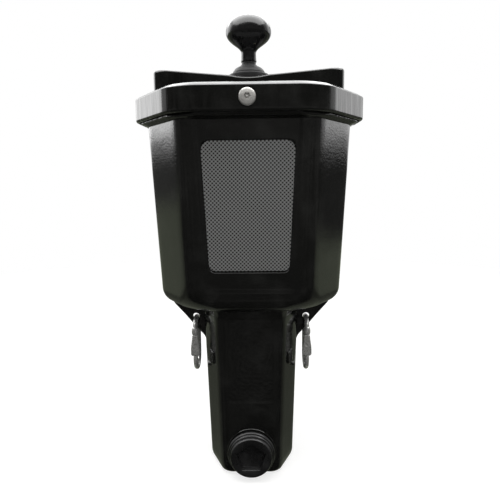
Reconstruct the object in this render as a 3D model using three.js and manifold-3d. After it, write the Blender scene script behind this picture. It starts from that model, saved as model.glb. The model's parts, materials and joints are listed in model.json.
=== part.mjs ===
// A post-mounted golf ball washer, in millimetres, +Z up, front towards -Y.
// The origin is on the flat roof of the post socket, on the axis of the post.
import * as THREE from "three";
import { mergeVertices } from "three/addons/utils/BufferGeometryUtils.js";
import Module from "manifold-3d";

const wasm = await Module();
wasm.setup();

// Shared clearances and counts
const GAP = 0.3; // between two pieces that rest on each other
const OVERRUN = 3; // how far a cutting tool runs past what it cuts
const WELD = 0.001; // vertices closer than this are one
const CORNER_STEPS = 3;
const EDGE_STEPS = 3;
const ROUND_SIDES = 28;
const SMALL_SIDES = 14;
const HEX_SIDES = 6;
const KNOB_STEPS = 6;
const HOOK_STEPS = 30;

// Ball and paddle
const BALL_DIAMETER = 42.7;
const BALL_POCKETS = 4;
const POCKET_CLEARANCE = 0.7;
const POCKET_WEB = 1.6;
const PADDLE_RIM = 2.3;
const PADDLE_THICKNESS = 12;
const PADDLE_TOP_RIM = 6;
const PADDLE_CORNER = 5;
const PADDLE_FOOT_HEIGHT = 10;
const PADDLE_FOOT_THICKNESS = 26;
const PADDLE_FOOT_INSET = 7.5;
const PADDLE_TRAVEL = 148;
const LOADING_CLEARANCE = 0.8;
const HUB_RADIUS = 12;
const HUB_HEIGHT = 24;
const ROD_RADIUS = 6.35;
const STUD_RADIUS = 4.75;
const STUD_IN_KNOB = 20;
const PIN_RADIUS = 2.5;
const PIN_HEIGHT = 12;
const PIN_SHORT = 1;

// Post, socket and tower
const POST_DIAMETER = 60.3;
const POST_PLAY = 1.2;
const SOCKET_DEPTH = 130;
const SOCKET_ROOF = 12;
const SOCKET_SIDE_WALL = 14.2;
const SOCKET_REAR_WALL = 6;
const SOCKET_FRONT_WALL = 6;
const TOWER_RISE = 60;
const TOWER_WALL = 6;
const TOWER_SIDE_DRAFT = 5;
const TOWER_FRONT_DRAFT = 8.75;
const TOWER_FRONT_FLAT = 69;
const TOWER_REAR_FLAT = 56;
const TOWER_SIDE_FLAT_FRONT = 25;
const TOWER_SIDE_FLAT_REAR = 18;
const TOWER_CORNER = 7;
const TOWER_FOOT_RADIUS = 11;
const TOWER_PANEL_DEPTH = 1;
const TOWER_PANEL_MARGIN = 9.1;
const TOWER_PANEL_TOP = 9;
const TOWER_PANEL_HEIGHT = 96;

// Drain
const DRAIN_CHANNEL = 18.5;
const DRAIN_CHANNEL_WIDTH = 40;
const DRAIN_HEIGHT = 28;
const DRAIN_BOSS_RADIUS = 27;
const DRAIN_BOSS_STAND = 2.4;
const DRAIN_BORE_RADIUS = 14.2;
const DRAIN_FLOOR = 8;
const SEAL_RADIUS = 24.6;
const SEAL_THICKNESS = 2;
const PLUG_FLANGE_RADIUS = 25;
const PLUG_FLANGE = 3.4;
const PLUG_STEP_RADIUS = 23.6;
const PLUG_STEP = 2;
const PLUG_HEAD_RADIUS = 22.3;
const PLUG_HEAD = 5.2;
const PLUG_EDGE = 1.2;
const PLUG_NECK_PAST_WALL = 3;
const PLUG_SOCKET_RADIUS = 17;
const PLUG_SOCKET_DEPTH = 7.5;
const PLUG_SOCKET_SIDES = 5;

// Bowl
const BOWL_HEIGHT = 194.5;
const BOWL_SIDE_ROOM = 17.5;
const BOWL_FRONT = 92;
const BOWL_FRONT_FLAT = 136;
const BOWL_SIDE_FLAT = 56;
const BOWL_SIDE_DRAFT = 12;
const BOWL_FRONT_DRAFT = 7;
const BOWL_WALL = 5.5;
const BOWL_CORNER = 12;
const BOWL_FLOOR_RADIUS = 18;
const BOWL_PANEL_DEPTH = 1.2;
const BOWL_PANEL_MARGIN = 14.25;
const BOWL_PANEL_HEAD = 1;
const BOWL_PANEL_FOOT = 20.5;
const BOWL_PANEL_CORNER = 5;
const RIM_HEIGHT = 22.5;

// Lid
const SKIRT_WALL = 3.5;
const SKIRT_PLAY = 2;
const SKIRT_LIFT = 2.5;
const RIM_SIDE = 13;
const RIM_FRONT = 11;
const LID_FRONT_FLAT = 143;
const LID_SIDE_FLAT = 50;
const LID_THICKNESS = 4.5;
const LID_EDGE = 4;
const LID_CORNER = 14;
const GASKET_THICKNESS = 1.9;
const GUARD_VALLEY = 18;
const GUARD_RISE = 8.5;
const GUARD_SEAT = 44;
const GUARD_SEAT_RAMP = 6;
const GUARD_SEAT_DIP = 2.6;
const GUARD_END = 9;
const GUARD_WALL = 8.5;
const GUARD_CORNER = 8;
const SLOT_PLAY = 1;
const SLOT_END_PLAY = 1.5;
const LOBE_PLAY = 1.15;
const HUB_PLAY = 1.5;

// Lid screws
const SCREW_HEAD_RADIUS = 8.25;
const SCREW_HEAD_HEIGHT = 4.4;
const SCREW_RADIUS = 4.75;
const SCREW_BITE = 9;
const SCREW_DROP = 14.8;
const SCREW_SOCKET_RADIUS = 3.1;
const SCREW_SOCKET_DEPTH = 2.4;
const SCREW_SOCKET_PIN = 1;

// Label
const LABEL_HEIGHT = 128.4;
const LABEL_TOP_WIDTH = 92.3;
const LABEL_FOOT_WIDTH = 80.5;
const LABEL_THICKNESS = 1.6;
const LABEL_CORNER = 12;
const LABEL_FOOT = 43.4;
const LABEL_SUNK = 0.3;

// Knob and bumper
const BUMPER_DISC_RADIUS = 21.2;
const BUMPER_DISC_HEIGHT = 10.9;
const BUMPER_DISC_EDGE = 1.5;
const BUMPER_DOME_RADIUS = 17.6;
const BUMPER_DOME_TOP_RADIUS = 8.6;
const BUMPER_DOME_HEIGHT = 10.2;
const KNOB_RADIUS = 24.65;
const KNOB_NECK_RADIUS = 8.1;
const KNOB_NECK_HEIGHT = 8.8;
const KNOB_SHOULDER_HEIGHT = 21.2;
const KNOB_DOME_HEIGHT = 17.7;
const KNOB_INSERT_WALL = 1.3;
const KNOB_INSERT_LENGTH = 20;
const KNOB_INSERT_SET_IN = 1;

// Brushes and guides
const BRISTLE_LENGTH = 22;
const BRISTLE_MARGIN = 14.5;
const BRISTLE_SIDE_INSET = 6.5;
const FOOT_TO_BRISTLE = 0.5;
const BOARD_THICKNESS = 6;
const BOARD_HEIGHT = 104;
const BOARD_CORNER = 12;
const BOARD_SCREW_SPREAD = 100;
const BOARD_SCREW_MARGIN = 7;
const BOARD_SCREW_RADIUS = 2.2;
const BOARD_SCREW_BITE = 12;
const PAN_HEAD_RADIUS = 4.2;
const PAN_HEAD_HEIGHT = 2.4;
const STANDOFF_RADIUS = 6;
const GUIDE_LIP = 1.9;
const GUIDE_WEB = 3;
const GUIDE_WIDTH = 28;
const GUIDE_HEIGHT = 90;
const GUIDE_GROOVE_PLAY = 0.35;
const GUIDE_SCREW_SPREAD = 60;
const GUIDE_SCREW_OFFSET = 10.2;
const GUIDE_SCREW_RADIUS = 1.7;
const GUIDE_SCREW_BITE = 4;
const GUIDE_HEAD_RADIUS = 3.1;
const GUIDE_HEAD_HEIGHT = 1.6;

// Post clamp screws
const CLAMP_UPPER_DROP = 35;
const CLAMP_LOWER_RISE = 40; // above the foot
const CLAMP_RADIUS = 4.85;
const CLAMP_BOSS_RADIUS = 12.5;
const CLAMP_BOSS_STAND = 6;
const CLAMP_OUTSIDE = 12;
const CLAMP_HEX_RADIUS = 9.8;
const CLAMP_HEAD_HEIGHT = 6.4;
const JAM_NUT_HEIGHT = 5;

// Ears, side pads and snap hooks
const EAR_THICKNESS = 8;
const EAR_FORWARD = 10;
const EAR_DROP = 66;
const EYE_OUT = 14;
const EYE_DROP = 22;
const EYE_RADIUS = 5.2;
const PAD_WIDTH = 13;
const PAD_TOP = 52;
const PAD_HEIGHT = 16;
const PAD_STAND = 1.5;
const WIRE_RADIUS = 2.75;
const WIRE_SIDES = 8;
const TONGUE_DEPTH = 4.9;
const HOOK_LENGTH = 65.9;
const HOOK_WIDTH = 36;
const HOOK_NOSE = 1.5;
const TONGUE_THICKNESS = 3;
const TONGUE_LENGTH = 7.6;
const GATE_WIDTH = 8.6;
const GATE_DEPTH = 5.5;
const GATE_CORNER = 1.4;
const GATE_PIVOT_RISE = 5;
const GATE_PIVOT_TAIL = 3.4;
const GATE_SLOT_RISE = 4.6;
const GATE_PIN_RADIUS = 1.05;

// Finishes
const POWDER_COAT = { color: 0x0d0e0d, roughness: 0.25, metalness: 0.1 };
const STAINLESS = { color: 0xb9bab6, roughness: 0.3, metalness: 0.95 };
const BRASS = { color: 0xb08d4a, roughness: 0.35, metalness: 0.95 };
const BLACK_NYLON = { color: 0x17181a, roughness: 0.45, metalness: 0 };
const BLACK_RUBBER = { color: 0x141414, roughness: 0.75, metalness: 0 };
const PADDLE_PLASTIC = { color: 0x1f2022, roughness: 0.5, metalness: 0 };
const BOARD_PLASTIC = { color: 0xd9d6cb, roughness: 0.55, metalness: 0 };
const BRISTLE = { color: 0xe8e4d6, roughness: 0.8, metalness: 0 };
const LABEL_FILM = { color: 0x6d6e6c, roughness: 0.45, metalness: 0.2 };

// Sizes that follow from the ones above
const HALF = 0.5;
const pocketRadius = (BALL_DIAMETER + POCKET_CLEARANCE) * HALF;
const pocketPitch = 2 * pocketRadius + POCKET_WEB;
const pocketCentres = Array.from(
  { length: BALL_POCKETS },
  (_, i) => (i - (BALL_POCKETS - 1) * HALF) * pocketPitch,
);
const outerPocketEdge = pocketCentres[BALL_POCKETS - 1] + pocketRadius;
const paddleHalf = outerPocketEdge + PADDLE_RIM;
const lobeRadius = BALL_DIAMETER * HALF + LOBE_PLAY;
const slotHalf = paddleHalf + SLOT_END_PLAY;

const socketRadius = (POST_DIAMETER + POST_PLAY) * HALF;
const footFloor = -SOCKET_DEPTH;
const footSide = socketRadius + SOCKET_SIDE_WALL;
const footRear = socketRadius + SOCKET_REAR_WALL;
const channelBack = socketRadius + SOCKET_FRONT_WALL;
const channelFront = channelBack + DRAIN_CHANNEL;
const footFront = channelFront + TOWER_WALL;
const towerSide = footSide + TOWER_SIDE_DRAFT;
const towerFront = footFront + TOWER_FRONT_DRAFT;
const towerFootScale = { x: footSide / towerSide, y: footFront / towerFront };
const towerRear = footRear / towerFootScale.y;
const drainLevel = footFloor + DRAIN_HEIGHT;

const bowlFloor = TOWER_RISE;
const bowlSide = paddleHalf + BOWL_SIDE_ROOM;
const bowlShoulder = bowlFloor + BOWL_FLOOR_RADIUS;
const rimFloor = bowlFloor + BOWL_HEIGHT;
const rimTop = rimFloor + RIM_HEIGHT;
const gasketFloor = rimTop + GAP;
const lidFloor = gasketFloor + GASKET_THICKNESS + GAP;
const lidTop = lidFloor + LID_THICKNESS;
const skirtFloor = rimFloor + SKIRT_LIFT;
const lidFront = BOWL_FRONT + RIM_FRONT;
const lidSide = bowlSide + RIM_SIDE;
const guardValley = lidTop + GUARD_VALLEY;
const guardPeak = guardValley + GUARD_RISE;
const guardHalf = slotHalf + GUARD_END;
const guardDepthHalf = lobeRadius + GUARD_WALL;
const lidScrewLevel = lidTop - SCREW_DROP;

const bumperFloor = guardValley + GAP;
const domeFloor = bumperFloor + BUMPER_DISC_HEIGHT + GAP;
const knobFloor = domeFloor + BUMPER_DOME_HEIGHT + GAP;
const pocketLevel = guardPeak + LOADING_CLEARANCE - PADDLE_TRAVEL + pocketRadius;
const paddleFootTop = lidFloor - GAP - PADDLE_TRAVEL;
const paddleTop = pocketLevel + pocketRadius + PADDLE_TOP_RIM;
const hubTop = paddleTop + HUB_HEIGHT;
const rodFloor = paddleTop - PADDLE_TOP_RIM * HALF;

const bristleFront = PADDLE_FOOT_THICKNESS * HALF + FOOT_TO_BRISTLE;
const boardFront = bristleFront + BRISTLE_LENGTH + GAP;
const boardBack = boardFront + BOARD_THICKNESS;
const boardHalf = outerPocketEdge - BRISTLE_SIDE_INSET;
const bristleHalfHeight = BOARD_HEIGHT * HALF - BRISTLE_MARGIN;
const guideInner = outerPocketEdge + GAP;
const guideFloorOfGroove = guideInner + GUIDE_LIP + GAP;
const guideOuter = guideFloorOfGroove + GUIDE_WEB;

const earCentre = -EAR_FORWARD;
const eyeX = towerSide + EYE_OUT;
const eyeLevel = bowlFloor - EYE_DROP;
const hookBend = HOOK_WIDTH * HALF - WIRE_RADIUS;
const hookSag = hookBend - Math.sqrt(hookBend ** 2 - (EAR_THICKNESS * HALF) ** 2);
const hookLevel = eyeLevel - EYE_RADIUS + WIRE_RADIUS + GAP + hookSag;
const hookReach = HOOK_LENGTH - 2 * WIRE_RADIUS;
const lowerBend = -(hookReach - hookBend);
const gatePivot = lowerBend + GATE_PIVOT_RISE;
const gateTop = -hookBend - HOOK_NOSE - GAP;

const tau = 2 * Math.PI;
const quarter = Math.PI * HALF;

// Solids from geometries, and back
function toSolid(geometry) {
  const bare = geometry.clone();
  bare.deleteAttribute("normal");
  bare.deleteAttribute("uv");
  const merged = mergeVertices(bare, WELD);
  return new wasm.Manifold(
    new wasm.Mesh({
      numProp: 3,
      vertProperties: merged.attributes.position.array,
      triVerts: new Uint32Array(merged.index.array),
    }),
  );
}

function toGeometry(body) {
  const mesh = body.getMesh();
  const geometry = new THREE.BufferGeometry();
  geometry.setAttribute("position", new THREE.BufferAttribute(mesh.vertProperties, 3));
  geometry.setIndex(new THREE.BufferAttribute(mesh.triVerts, 1));
  return geometry;
}

const joined = (first, ...others) =>
  toGeometry(others.reduce((body, other) => body.add(toSolid(other)), toSolid(first)));

const cut = (first, ...tools) =>
  toGeometry(tools.reduce((body, tool) => body.subtract(toSolid(tool)), toSolid(first)));

const common = (first, other) => toGeometry(toSolid(first).intersect(toSolid(other)));

function piece(name, geometry, finish) {
  const flat = geometry.index ? geometry.toNonIndexed() : geometry;
  flat.computeVertexNormals();
  const mesh = new THREE.Mesh(flat, new THREE.MeshStandardMaterial(finish));
  mesh.name = name;
  return mesh;
}

// Outlines
const eightCorners = ({ front, frontFlat, side, sideFront, sideRear, rear, rearFlat }) =>
  [
    [-frontFlat * HALF, -front],
    [frontFlat * HALF, -front],
    [side, -sideFront],
    [side, sideRear],
    [rearFlat * HALF, rear],
    [-rearFlat * HALF, rear],
    [-side, sideRear],
    [-side, -sideFront],
  ].map(([x, y]) => new THREE.Vector2(x, y));

const symmetricCorners = (front, frontFlat, side, sideFlat) =>
  eightCorners({
    front,
    frontFlat,
    side,
    sideFront: sideFlat * HALF,
    sideRear: sideFlat * HALF,
    rear: front,
    rearFlat: frontFlat,
  });

// Moves every side of a convex counter-clockwise outline inwards by one distance.
function inset(corners, distance) {
  const sides = corners.map((corner, i) => {
    const along = corners[(i + 1) % corners.length].clone().sub(corner).normalize();
    const inward = new THREE.Vector2(-along.y, along.x);
    return { start: corner.clone().addScaledVector(inward, distance), along };
  });
  return sides.map((side, i) => {
    const before = sides[(i + sides.length - 1) % sides.length];
    const run = side.start.clone().sub(before.start).cross(side.along) / before.along.cross(side.along);
    return before.start.clone().addScaledVector(before.along, run);
  });
}

// A closed outline whose corners are rounded, each starting a set distance before the corner.
function rounded(corners, setback) {
  const shape = new THREE.Shape();
  corners.forEach((corner, i) => {
    const before = corners[(i + corners.length - 1) % corners.length];
    const after = corners[(i + 1) % corners.length];
    const start = corner.clone().lerp(before, Math.min(HALF, setback / corner.distanceTo(before)));
    const end = corner.clone().lerp(after, Math.min(HALF, setback / corner.distanceTo(after)));
    if (i === 0) shape.moveTo(start.x, start.y);
    else shape.lineTo(start.x, start.y);
    shape.quadraticCurveTo(corner.x, corner.y, end.x, end.y);
  });
  shape.closePath();
  return shape;
}

const rectangle = (width, height, setback) =>
  rounded(
    [
      [-width, -height],
      [width, -height],
      [width, height],
      [-width, height],
    ].map(([x, y]) => new THREE.Vector2(x * HALF, y * HALF)),
    setback,
  );

const polygon = (points) => new THREE.Shape(points.map(([x, y]) => new THREE.Vector2(x, y)));

const regular = (radius, sides, turn) =>
  polygon(
    Array.from({ length: sides }, (_, i) => {
      const angle = turn + (i * tau) / sides;
      return [radius * Math.cos(angle), radius * Math.sin(angle)];
    }),
  );

const disc = (radius) => new THREE.Shape().absarc(0, 0, radius, 0, tau);

// Solids of one outline
const extruded = (shape, depth, steps = CORNER_STEPS) =>
  new THREE.ExtrudeGeometry(shape, { depth, bevelEnabled: false, curveSegments: steps });

const prism = (shape, floor, top, steps) =>
  extruded(shape, top - floor, steps).translate(0, 0, floor);

// An outline carried up through levels, each with its own height and scale.
function stacked(shape, levels) {
  const runs = levels.length - 1;
  const geometry = new THREE.ExtrudeGeometry(shape, {
    depth: runs,
    steps: runs,
    bevelEnabled: false,
    curveSegments: CORNER_STEPS,
  });
  const place = geometry.attributes.position;
  for (let i = 0; i < place.count; i++) {
    const level = levels[Math.round(place.getZ(i))];
    place.setXYZ(i, place.getX(i) * level.x, place.getY(i) * level.y, level.z);
  }
  return geometry;
}

// Levels of a rounded lower edge, from the flat underside to the straight wall.
const lowerEdge = (floor, radius, halfX, halfY, scale) =>
  Array.from({ length: EDGE_STEPS + 1 }, (_, i) => {
    const angle = (i * quarter) / EDGE_STEPS;
    const setIn = radius * (1 - Math.sin(angle));
    return {
      z: floor + radius * (1 - Math.cos(angle)),
      x: scale.x * (1 - setIn / (halfX * scale.x)),
      y: scale.y * (1 - setIn / (halfY * scale.y)),
    };
  });

// A solid of revolution about +Z from a closed profile of [radius, height] points.
const turned = (points, sides = ROUND_SIDES) =>
  new THREE.LatheGeometry(
    points.map(([r, h]) => new THREE.Vector2(r, h)),
    sides,
  ).rotateX(quarter);

// The same solid with its +Z end turned towards the front.
const facingFront = (geometry) => geometry.rotateX(quarter);
const facingRear = (geometry) => geometry.rotateX(-quarter);
const facingRight = (geometry) => geometry.rotateY(quarter);

const rod = (radius, floor, top, sides = SMALL_SIDES) =>
  turned([[0, floor], [radius, floor], [radius, top], [0, top]], sides);

const ring = (inner, outer, floor, top, sides = ROUND_SIDES) =>
  turned([[inner, floor], [outer, floor], [outer, top], [inner, top], [inner, floor]], sides);

const box = (x0, x1, y0, y1, z0, z1) =>
  new THREE.BoxGeometry(x1 - x0, y1 - y0, z1 - z0).translate(
    (x0 + x1) * HALF,
    (y0 + y1) * HALF,
    (z0 + z1) * HALF,
  );

// The side of a screw's head, in shares of its radius and of its height.
const HEAD_PROFILE_SHARES = [
  [1, 0],
  [1, 0.25],
  [0.85, 0.75],
  [0.55, 1],
  [0, 1],
];

// A pan or button head and its shank on +Z: the head above zero, the shank below it.
function screwBlank(headRadius, headHeight, shankRadius, shankLength) {
  const profile = HEAD_PROFILE_SHARES.map(([out, up]) => [out * headRadius, up * headHeight]);
  return turned([[0, -shankLength], [shankRadius, -shankLength], [shankRadius, 0], ...profile], SMALL_SIDES);
}

// Bowl and tower
const bowlCorners = symmetricCorners(BOWL_FRONT, BOWL_FRONT_FLAT, bowlSide, BOWL_SIDE_FLAT);
const lidCorners = symmetricCorners(lidFront, LID_FRONT_FLAT, lidSide, LID_SIDE_FLAT);
const rimCorners = inset(lidCorners, SKIRT_WALL + SKIRT_PLAY);
const towerCorners = eightCorners({
  front: towerFront,
  frontFlat: TOWER_FRONT_FLAT,
  side: towerSide,
  sideFront: TOWER_SIDE_FLAT_FRONT,
  sideRear: TOWER_SIDE_FLAT_REAR,
  rear: towerRear,
  rearFlat: TOWER_REAR_FLAT,
});
const bowlFootScale = {
  x: (bowlSide - BOWL_SIDE_DRAFT) / bowlSide,
  y: (BOWL_FRONT - BOWL_FRONT_DRAFT) / BOWL_FRONT,
};
const towerHeight = TOWER_RISE + SOCKET_DEPTH;
const towerTop = bowlFloor - GAP;

const towerScaleAt = (z) => {
  const share = (z - footFloor) / towerHeight;
  return {
    x: THREE.MathUtils.lerp(towerFootScale.x, 1, share),
    y: THREE.MathUtils.lerp(towerFootScale.y, 1, share),
  };
};

function bowlOutside() {
  const levels = lowerEdge(bowlFloor, BOWL_FLOOR_RADIUS, bowlSide, BOWL_FRONT, bowlFootScale);
  return stacked(rounded(bowlCorners, BOWL_CORNER), [...levels, { z: rimTop, x: 1, y: 1 }]);
}

function bowlInside() {
  const innerFront = BOWL_FRONT - BOWL_WALL;
  const innerSide = bowlSide - BOWL_WALL;
  const scale = {
    x: (innerSide - BOWL_SIDE_DRAFT) / innerSide,
    y: (innerFront - BOWL_FRONT_DRAFT) / innerFront,
  };
  const radius = BOWL_FLOOR_RADIUS - BOWL_WALL;
  const levels = lowerEdge(bowlFloor + BOWL_WALL, radius, innerSide, innerFront, scale);
  const shape = rounded(inset(bowlCorners, BOWL_WALL), BOWL_CORNER - BOWL_WALL);
  return stacked(shape, [...levels, { z: rimTop, x: 1, y: 1 }, { z: rimTop + OVERRUN, x: 1, y: 1 }]);
}

function towerOutside() {
  const foot = towerScaleAt(footFloor + TOWER_FOOT_RADIUS);
  const levels = lowerEdge(footFloor, TOWER_FOOT_RADIUS, towerSide, towerFront, foot);
  const shape = rounded(towerCorners, TOWER_CORNER);
  return stacked(shape, [...levels, { z: towerTop, ...towerScaleAt(towerTop) }]);
}

// The space over the socket's roof, open upwards through the floor of the bowl.
function drainChamber() {
  const top = bowlFloor + BOWL_WALL + OVERRUN;
  return stacked(rounded(inset(towerCorners, TOWER_WALL), TOWER_CORNER), [
    { z: SOCKET_ROOF, ...towerScaleAt(SOCKET_ROOF) },
    { z: top, ...towerScaleAt(top) },
  ]);
}

function drainChannel() {
  const half = DRAIN_CHANNEL_WIDTH * HALF;
  const floor = footFloor + DRAIN_FLOOR;
  return box(-half, half, -channelFront, -channelBack, floor, SOCKET_ROOF + OVERRUN);
}

// Turns a solid drawn on the XY plane, rising along +Z, onto the sloping front of the bowl.
const bowlSlope = Math.atan2(BOWL_FRONT_DRAFT, rimTop - bowlShoulder);
const bowlFaceAt = (z) =>
  -(BOWL_FRONT - (BOWL_FRONT_DRAFT * (rimTop - z)) / (rimTop - bowlShoulder));
const towerSlope = Math.atan2(TOWER_FRONT_DRAFT, towerHeight);
const towerFaceAt = (z) => -towerFront * towerScaleAt(z).y;

const onFace = (geometry, slope, y, z) => geometry.rotateX(quarter + slope).translate(0, y, z);

const trapezoid = (footWidth, topWidth, height, setback) =>
  rounded(
    [
      [-footWidth, 0],
      [footWidth, 0],
      [topWidth, 2 * height],
      [-topWidth, 2 * height],
    ].map(([x, y]) => new THREE.Vector2(x * HALF, y * HALF)),
    setback,
  );

const labelFloor = bowlFloor + LABEL_FOOT;
const labelSeat = BOWL_PANEL_DEPTH + LABEL_SUNK + LABEL_THICKNESS + GAP;

function bowlPanel() {
  const floor = bowlFloor + BOWL_PANEL_FOOT;
  const height = rimFloor - BOWL_PANEL_HEAD - floor;
  const topWidth = BOWL_FRONT_FLAT - 2 * BOWL_PANEL_MARGIN;
  const footWidth = BOWL_FRONT_FLAT * bowlFootScale.x - 2 * BOWL_PANEL_MARGIN;
  const shape = trapezoid(footWidth, topWidth, height, BOWL_PANEL_CORNER);
  const tool = extruded(shape, BOWL_PANEL_DEPTH + OVERRUN).translate(0, 0, -BOWL_PANEL_DEPTH);
  return onFace(tool, bowlSlope, bowlFaceAt(floor), floor);
}

function labelPocket() {
  const shape = trapezoid(
    LABEL_FOOT_WIDTH + 2 * GAP,
    LABEL_TOP_WIDTH + 2 * GAP,
    LABEL_HEIGHT + 2 * GAP,
    LABEL_CORNER,
  );
  const tool = extruded(shape, labelSeat + OVERRUN).translate(0, -GAP, -labelSeat);
  return onFace(tool, bowlSlope, bowlFaceAt(labelFloor), labelFloor);
}

function towerPanel() {
  const top = bowlFloor - TOWER_PANEL_TOP;
  const floor = top - TOWER_PANEL_HEIGHT;
  const width = TOWER_FRONT_FLAT - 2 * TOWER_PANEL_MARGIN;
  const foot = width * towerScaleAt(floor).x;
  const shape = trapezoid(foot, width, TOWER_PANEL_HEIGHT, TOWER_PANEL_MARGIN * HALF);
  const tool = extruded(shape, TOWER_PANEL_DEPTH + OVERRUN).translate(0, 0, -TOWER_PANEL_DEPTH);
  return onFace(tool, towerSlope, towerFaceAt(floor), floor);
}

// The ear's free edge, in shares of its reach out from the tower and of its drop below the bowl.
const EAR_OUTLINE_SHARES = [
  [0.98, 0],
  [0.955, 0.2],
  [0.87, 0.34],
  [0.36, 0.79],
  [0.16, 0.96],
  [0.05, 1.12],
];
const EAR_TIP_SHARE = 1.16;

// An ear hangs from the bowl, its inner edge a gap away from the side of the tower.
function ear(side) {
  const reach = bowlSide - BOWL_SIDE_DRAFT - towerSide;
  const top = bowlShoulder - BOWL_FLOOR_RADIUS * HALF * HALF;
  const tip = top - EAR_TIP_SHARE * EAR_DROP;
  const inner = [top, tip].map((z) => [towerSide * towerScaleAt(z).x + GAP, z]);
  const free = EAR_OUTLINE_SHARES.map(([out, down]) => [towerSide + out * reach, top - down * EAR_DROP]);
  const shape = polygon([inner[0], ...free, inner[1]].reverse());
  const plate = facingFront(extruded(shape, EAR_THICKNESS)).translate(
    0,
    earCentre + EAR_THICKNESS * HALF,
    0,
  );
  return side < 0 ? plate.rotateZ(Math.PI).translate(0, 2 * earCentre, 0) : plate;
}

const eyeHole = (side) =>
  facingFront(rod(EYE_RADIUS, -EAR_THICKNESS, EAR_THICKNESS)).translate(side * eyeX, earCentre, eyeLevel);

// A round-bottomed pad with a flat top, on the slanted face between the front and one side of the tower.
function sidePad(side) {
  const top = bowlFloor - PAD_TOP;
  const scale = towerScaleAt(top - PAD_HEIGHT);
  const front = new THREE.Vector2(TOWER_FRONT_FLAT * HALF * scale.x, -towerFront * scale.y);
  const back = new THREE.Vector2(towerSide * scale.x, -TOWER_SIDE_FLAT_FRONT * scale.y);
  const slant = back.clone().sub(front).angle() - quarter;
  const middle = front.add(back).multiplyScalar(HALF).rotateAround(new THREE.Vector2(), -slant);
  const half = PAD_WIDTH * HALF;
  const shape = new THREE.Shape();
  shape.moveTo(-half, 0);
  shape.lineTo(-half, half - PAD_HEIGHT);
  shape.absarc(0, half - PAD_HEIGHT, half, Math.PI, tau);
  shape.lineTo(half, 0);
  const pad = facingRight(extruded(shape, TOWER_WALL + PAD_STAND).rotateZ(quarter));
  const turnRound = side < 0 ? Math.PI - slant : slant;
  return pad.translate(middle.x - TOWER_WALL, side * middle.y, top).rotateZ(turnRound);
}

const sides = [-1, 1];
const drainFace = towerFaceAt(drainLevel) - DRAIN_BOSS_STAND;
const clampLowerDrop = SOCKET_DEPTH - CLAMP_LOWER_RISE;
const clampDrops = [CLAMP_UPPER_DROP, clampLowerDrop];
const clampFace = towerRear * towerScaleAt(-CLAMP_UPPER_DROP).y + CLAMP_BOSS_STAND;
const boardScrews = sides.flatMap((x) =>
  sides.map((z) => ({
    x: x * BOARD_SCREW_SPREAD * HALF,
    z: pocketLevel + z * (BOARD_HEIGHT * HALF - BOARD_SCREW_MARGIN),
  })),
);
const guideScrews = sides.map((end) => ({
  y: end * GUIDE_SCREW_OFFSET,
  z: pocketLevel + end * GUIDE_SCREW_SPREAD * HALF,
}));

// Round posts that carry the brush boards, cast on the front and rear walls.
const standoffs = () =>
  sides.flatMap((face) =>
    boardScrews.map(({ x, z }) => {
      const post = rod(STANDOFF_RADIUS, boardBack + GAP, -bowlFaceAt(z) - BOWL_WALL * HALF);
      return (face < 0 ? facingFront(post) : facingRear(post)).translate(x, 0, z);
    }),
  );

const standoffHoles = () =>
  sides.flatMap((face) =>
    boardScrews.map(({ x, z }) => {
      const bore = rod(BOARD_SCREW_RADIUS + GAP, boardBack - OVERRUN, boardBack + GAP + BOARD_SCREW_BITE);
      return (face < 0 ? facingFront(bore) : facingRear(bore)).translate(x, 0, z);
    }),
  );

// Flat seats for the guides, cast on the sloping side walls.
const guideSeats = () =>
  sides.map((side) => {
    const inner = guideOuter + GAP;
    const outer = bowlSide - BOWL_WALL * HALF;
    const half = GUIDE_HEIGHT * HALF;
    const wide = GUIDE_WIDTH * HALF;
    const seat = box(inner, outer, -wide, wide, pocketLevel - half, pocketLevel + half);
    return side < 0 ? seat.rotateZ(Math.PI) : seat;
  });

// The room of a guide, cut free where the wall comes in towards the floor.
const guideRooms = () =>
  sides.map((side) => {
    const half = GUIDE_HEIGHT * HALF + GAP;
    const wide = GUIDE_WIDTH * HALF + GAP;
    const inner = guideInner - OVERRUN;
    const room = box(inner, guideOuter + GAP, -wide, wide, pocketLevel - half, pocketLevel + half);
    return side < 0 ? room.rotateZ(Math.PI) : room;
  });

const guideBores = () => {
  const end = guideOuter + 2 * GAP + GUIDE_SCREW_BITE;
  return sides.flatMap((side) =>
    guideScrews.map(({ y, z }) =>
      facingRight(rod(GUIDE_SCREW_RADIUS + GAP, guideInner - OVERRUN, end))
        .translate(0, y, z)
        .rotateZ(side < 0 ? Math.PI : 0),
    ),
  );
};

function towerCasting() {
  const boss = facingFront(rod(DRAIN_BOSS_RADIUS, channelFront, -drainFace, ROUND_SIDES)).translate(
    0,
    0,
    drainLevel,
  );
  const clampBosses = clampDrops.map((drop) =>
    facingRear(rod(CLAMP_BOSS_RADIUS, socketRadius + GAP, clampFace, ROUND_SIDES)).translate(0, 0, -drop),
  );
  const outside = joined(towerOutside(), boss, ...clampBosses, ...sides.map(sidePad));
  const socket = rod(socketRadius, footFloor - OVERRUN, 0, 2 * ROUND_SIDES);
  const drain = facingFront(rod(DRAIN_BORE_RADIUS, channelBack + GAP, -drainFace + OVERRUN, ROUND_SIDES));
  const clampBores = clampDrops.map((drop) =>
    facingRear(rod(CLAMP_RADIUS + GAP, 0, clampFace + OVERRUN)).translate(0, 0, -drop),
  );
  return cut(
    outside,
    drainChamber(),
    drainChannel(),
    towerPanel(),
    socket,
    drain.translate(0, 0, drainLevel),
    ...clampBores,
  );
}

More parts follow.
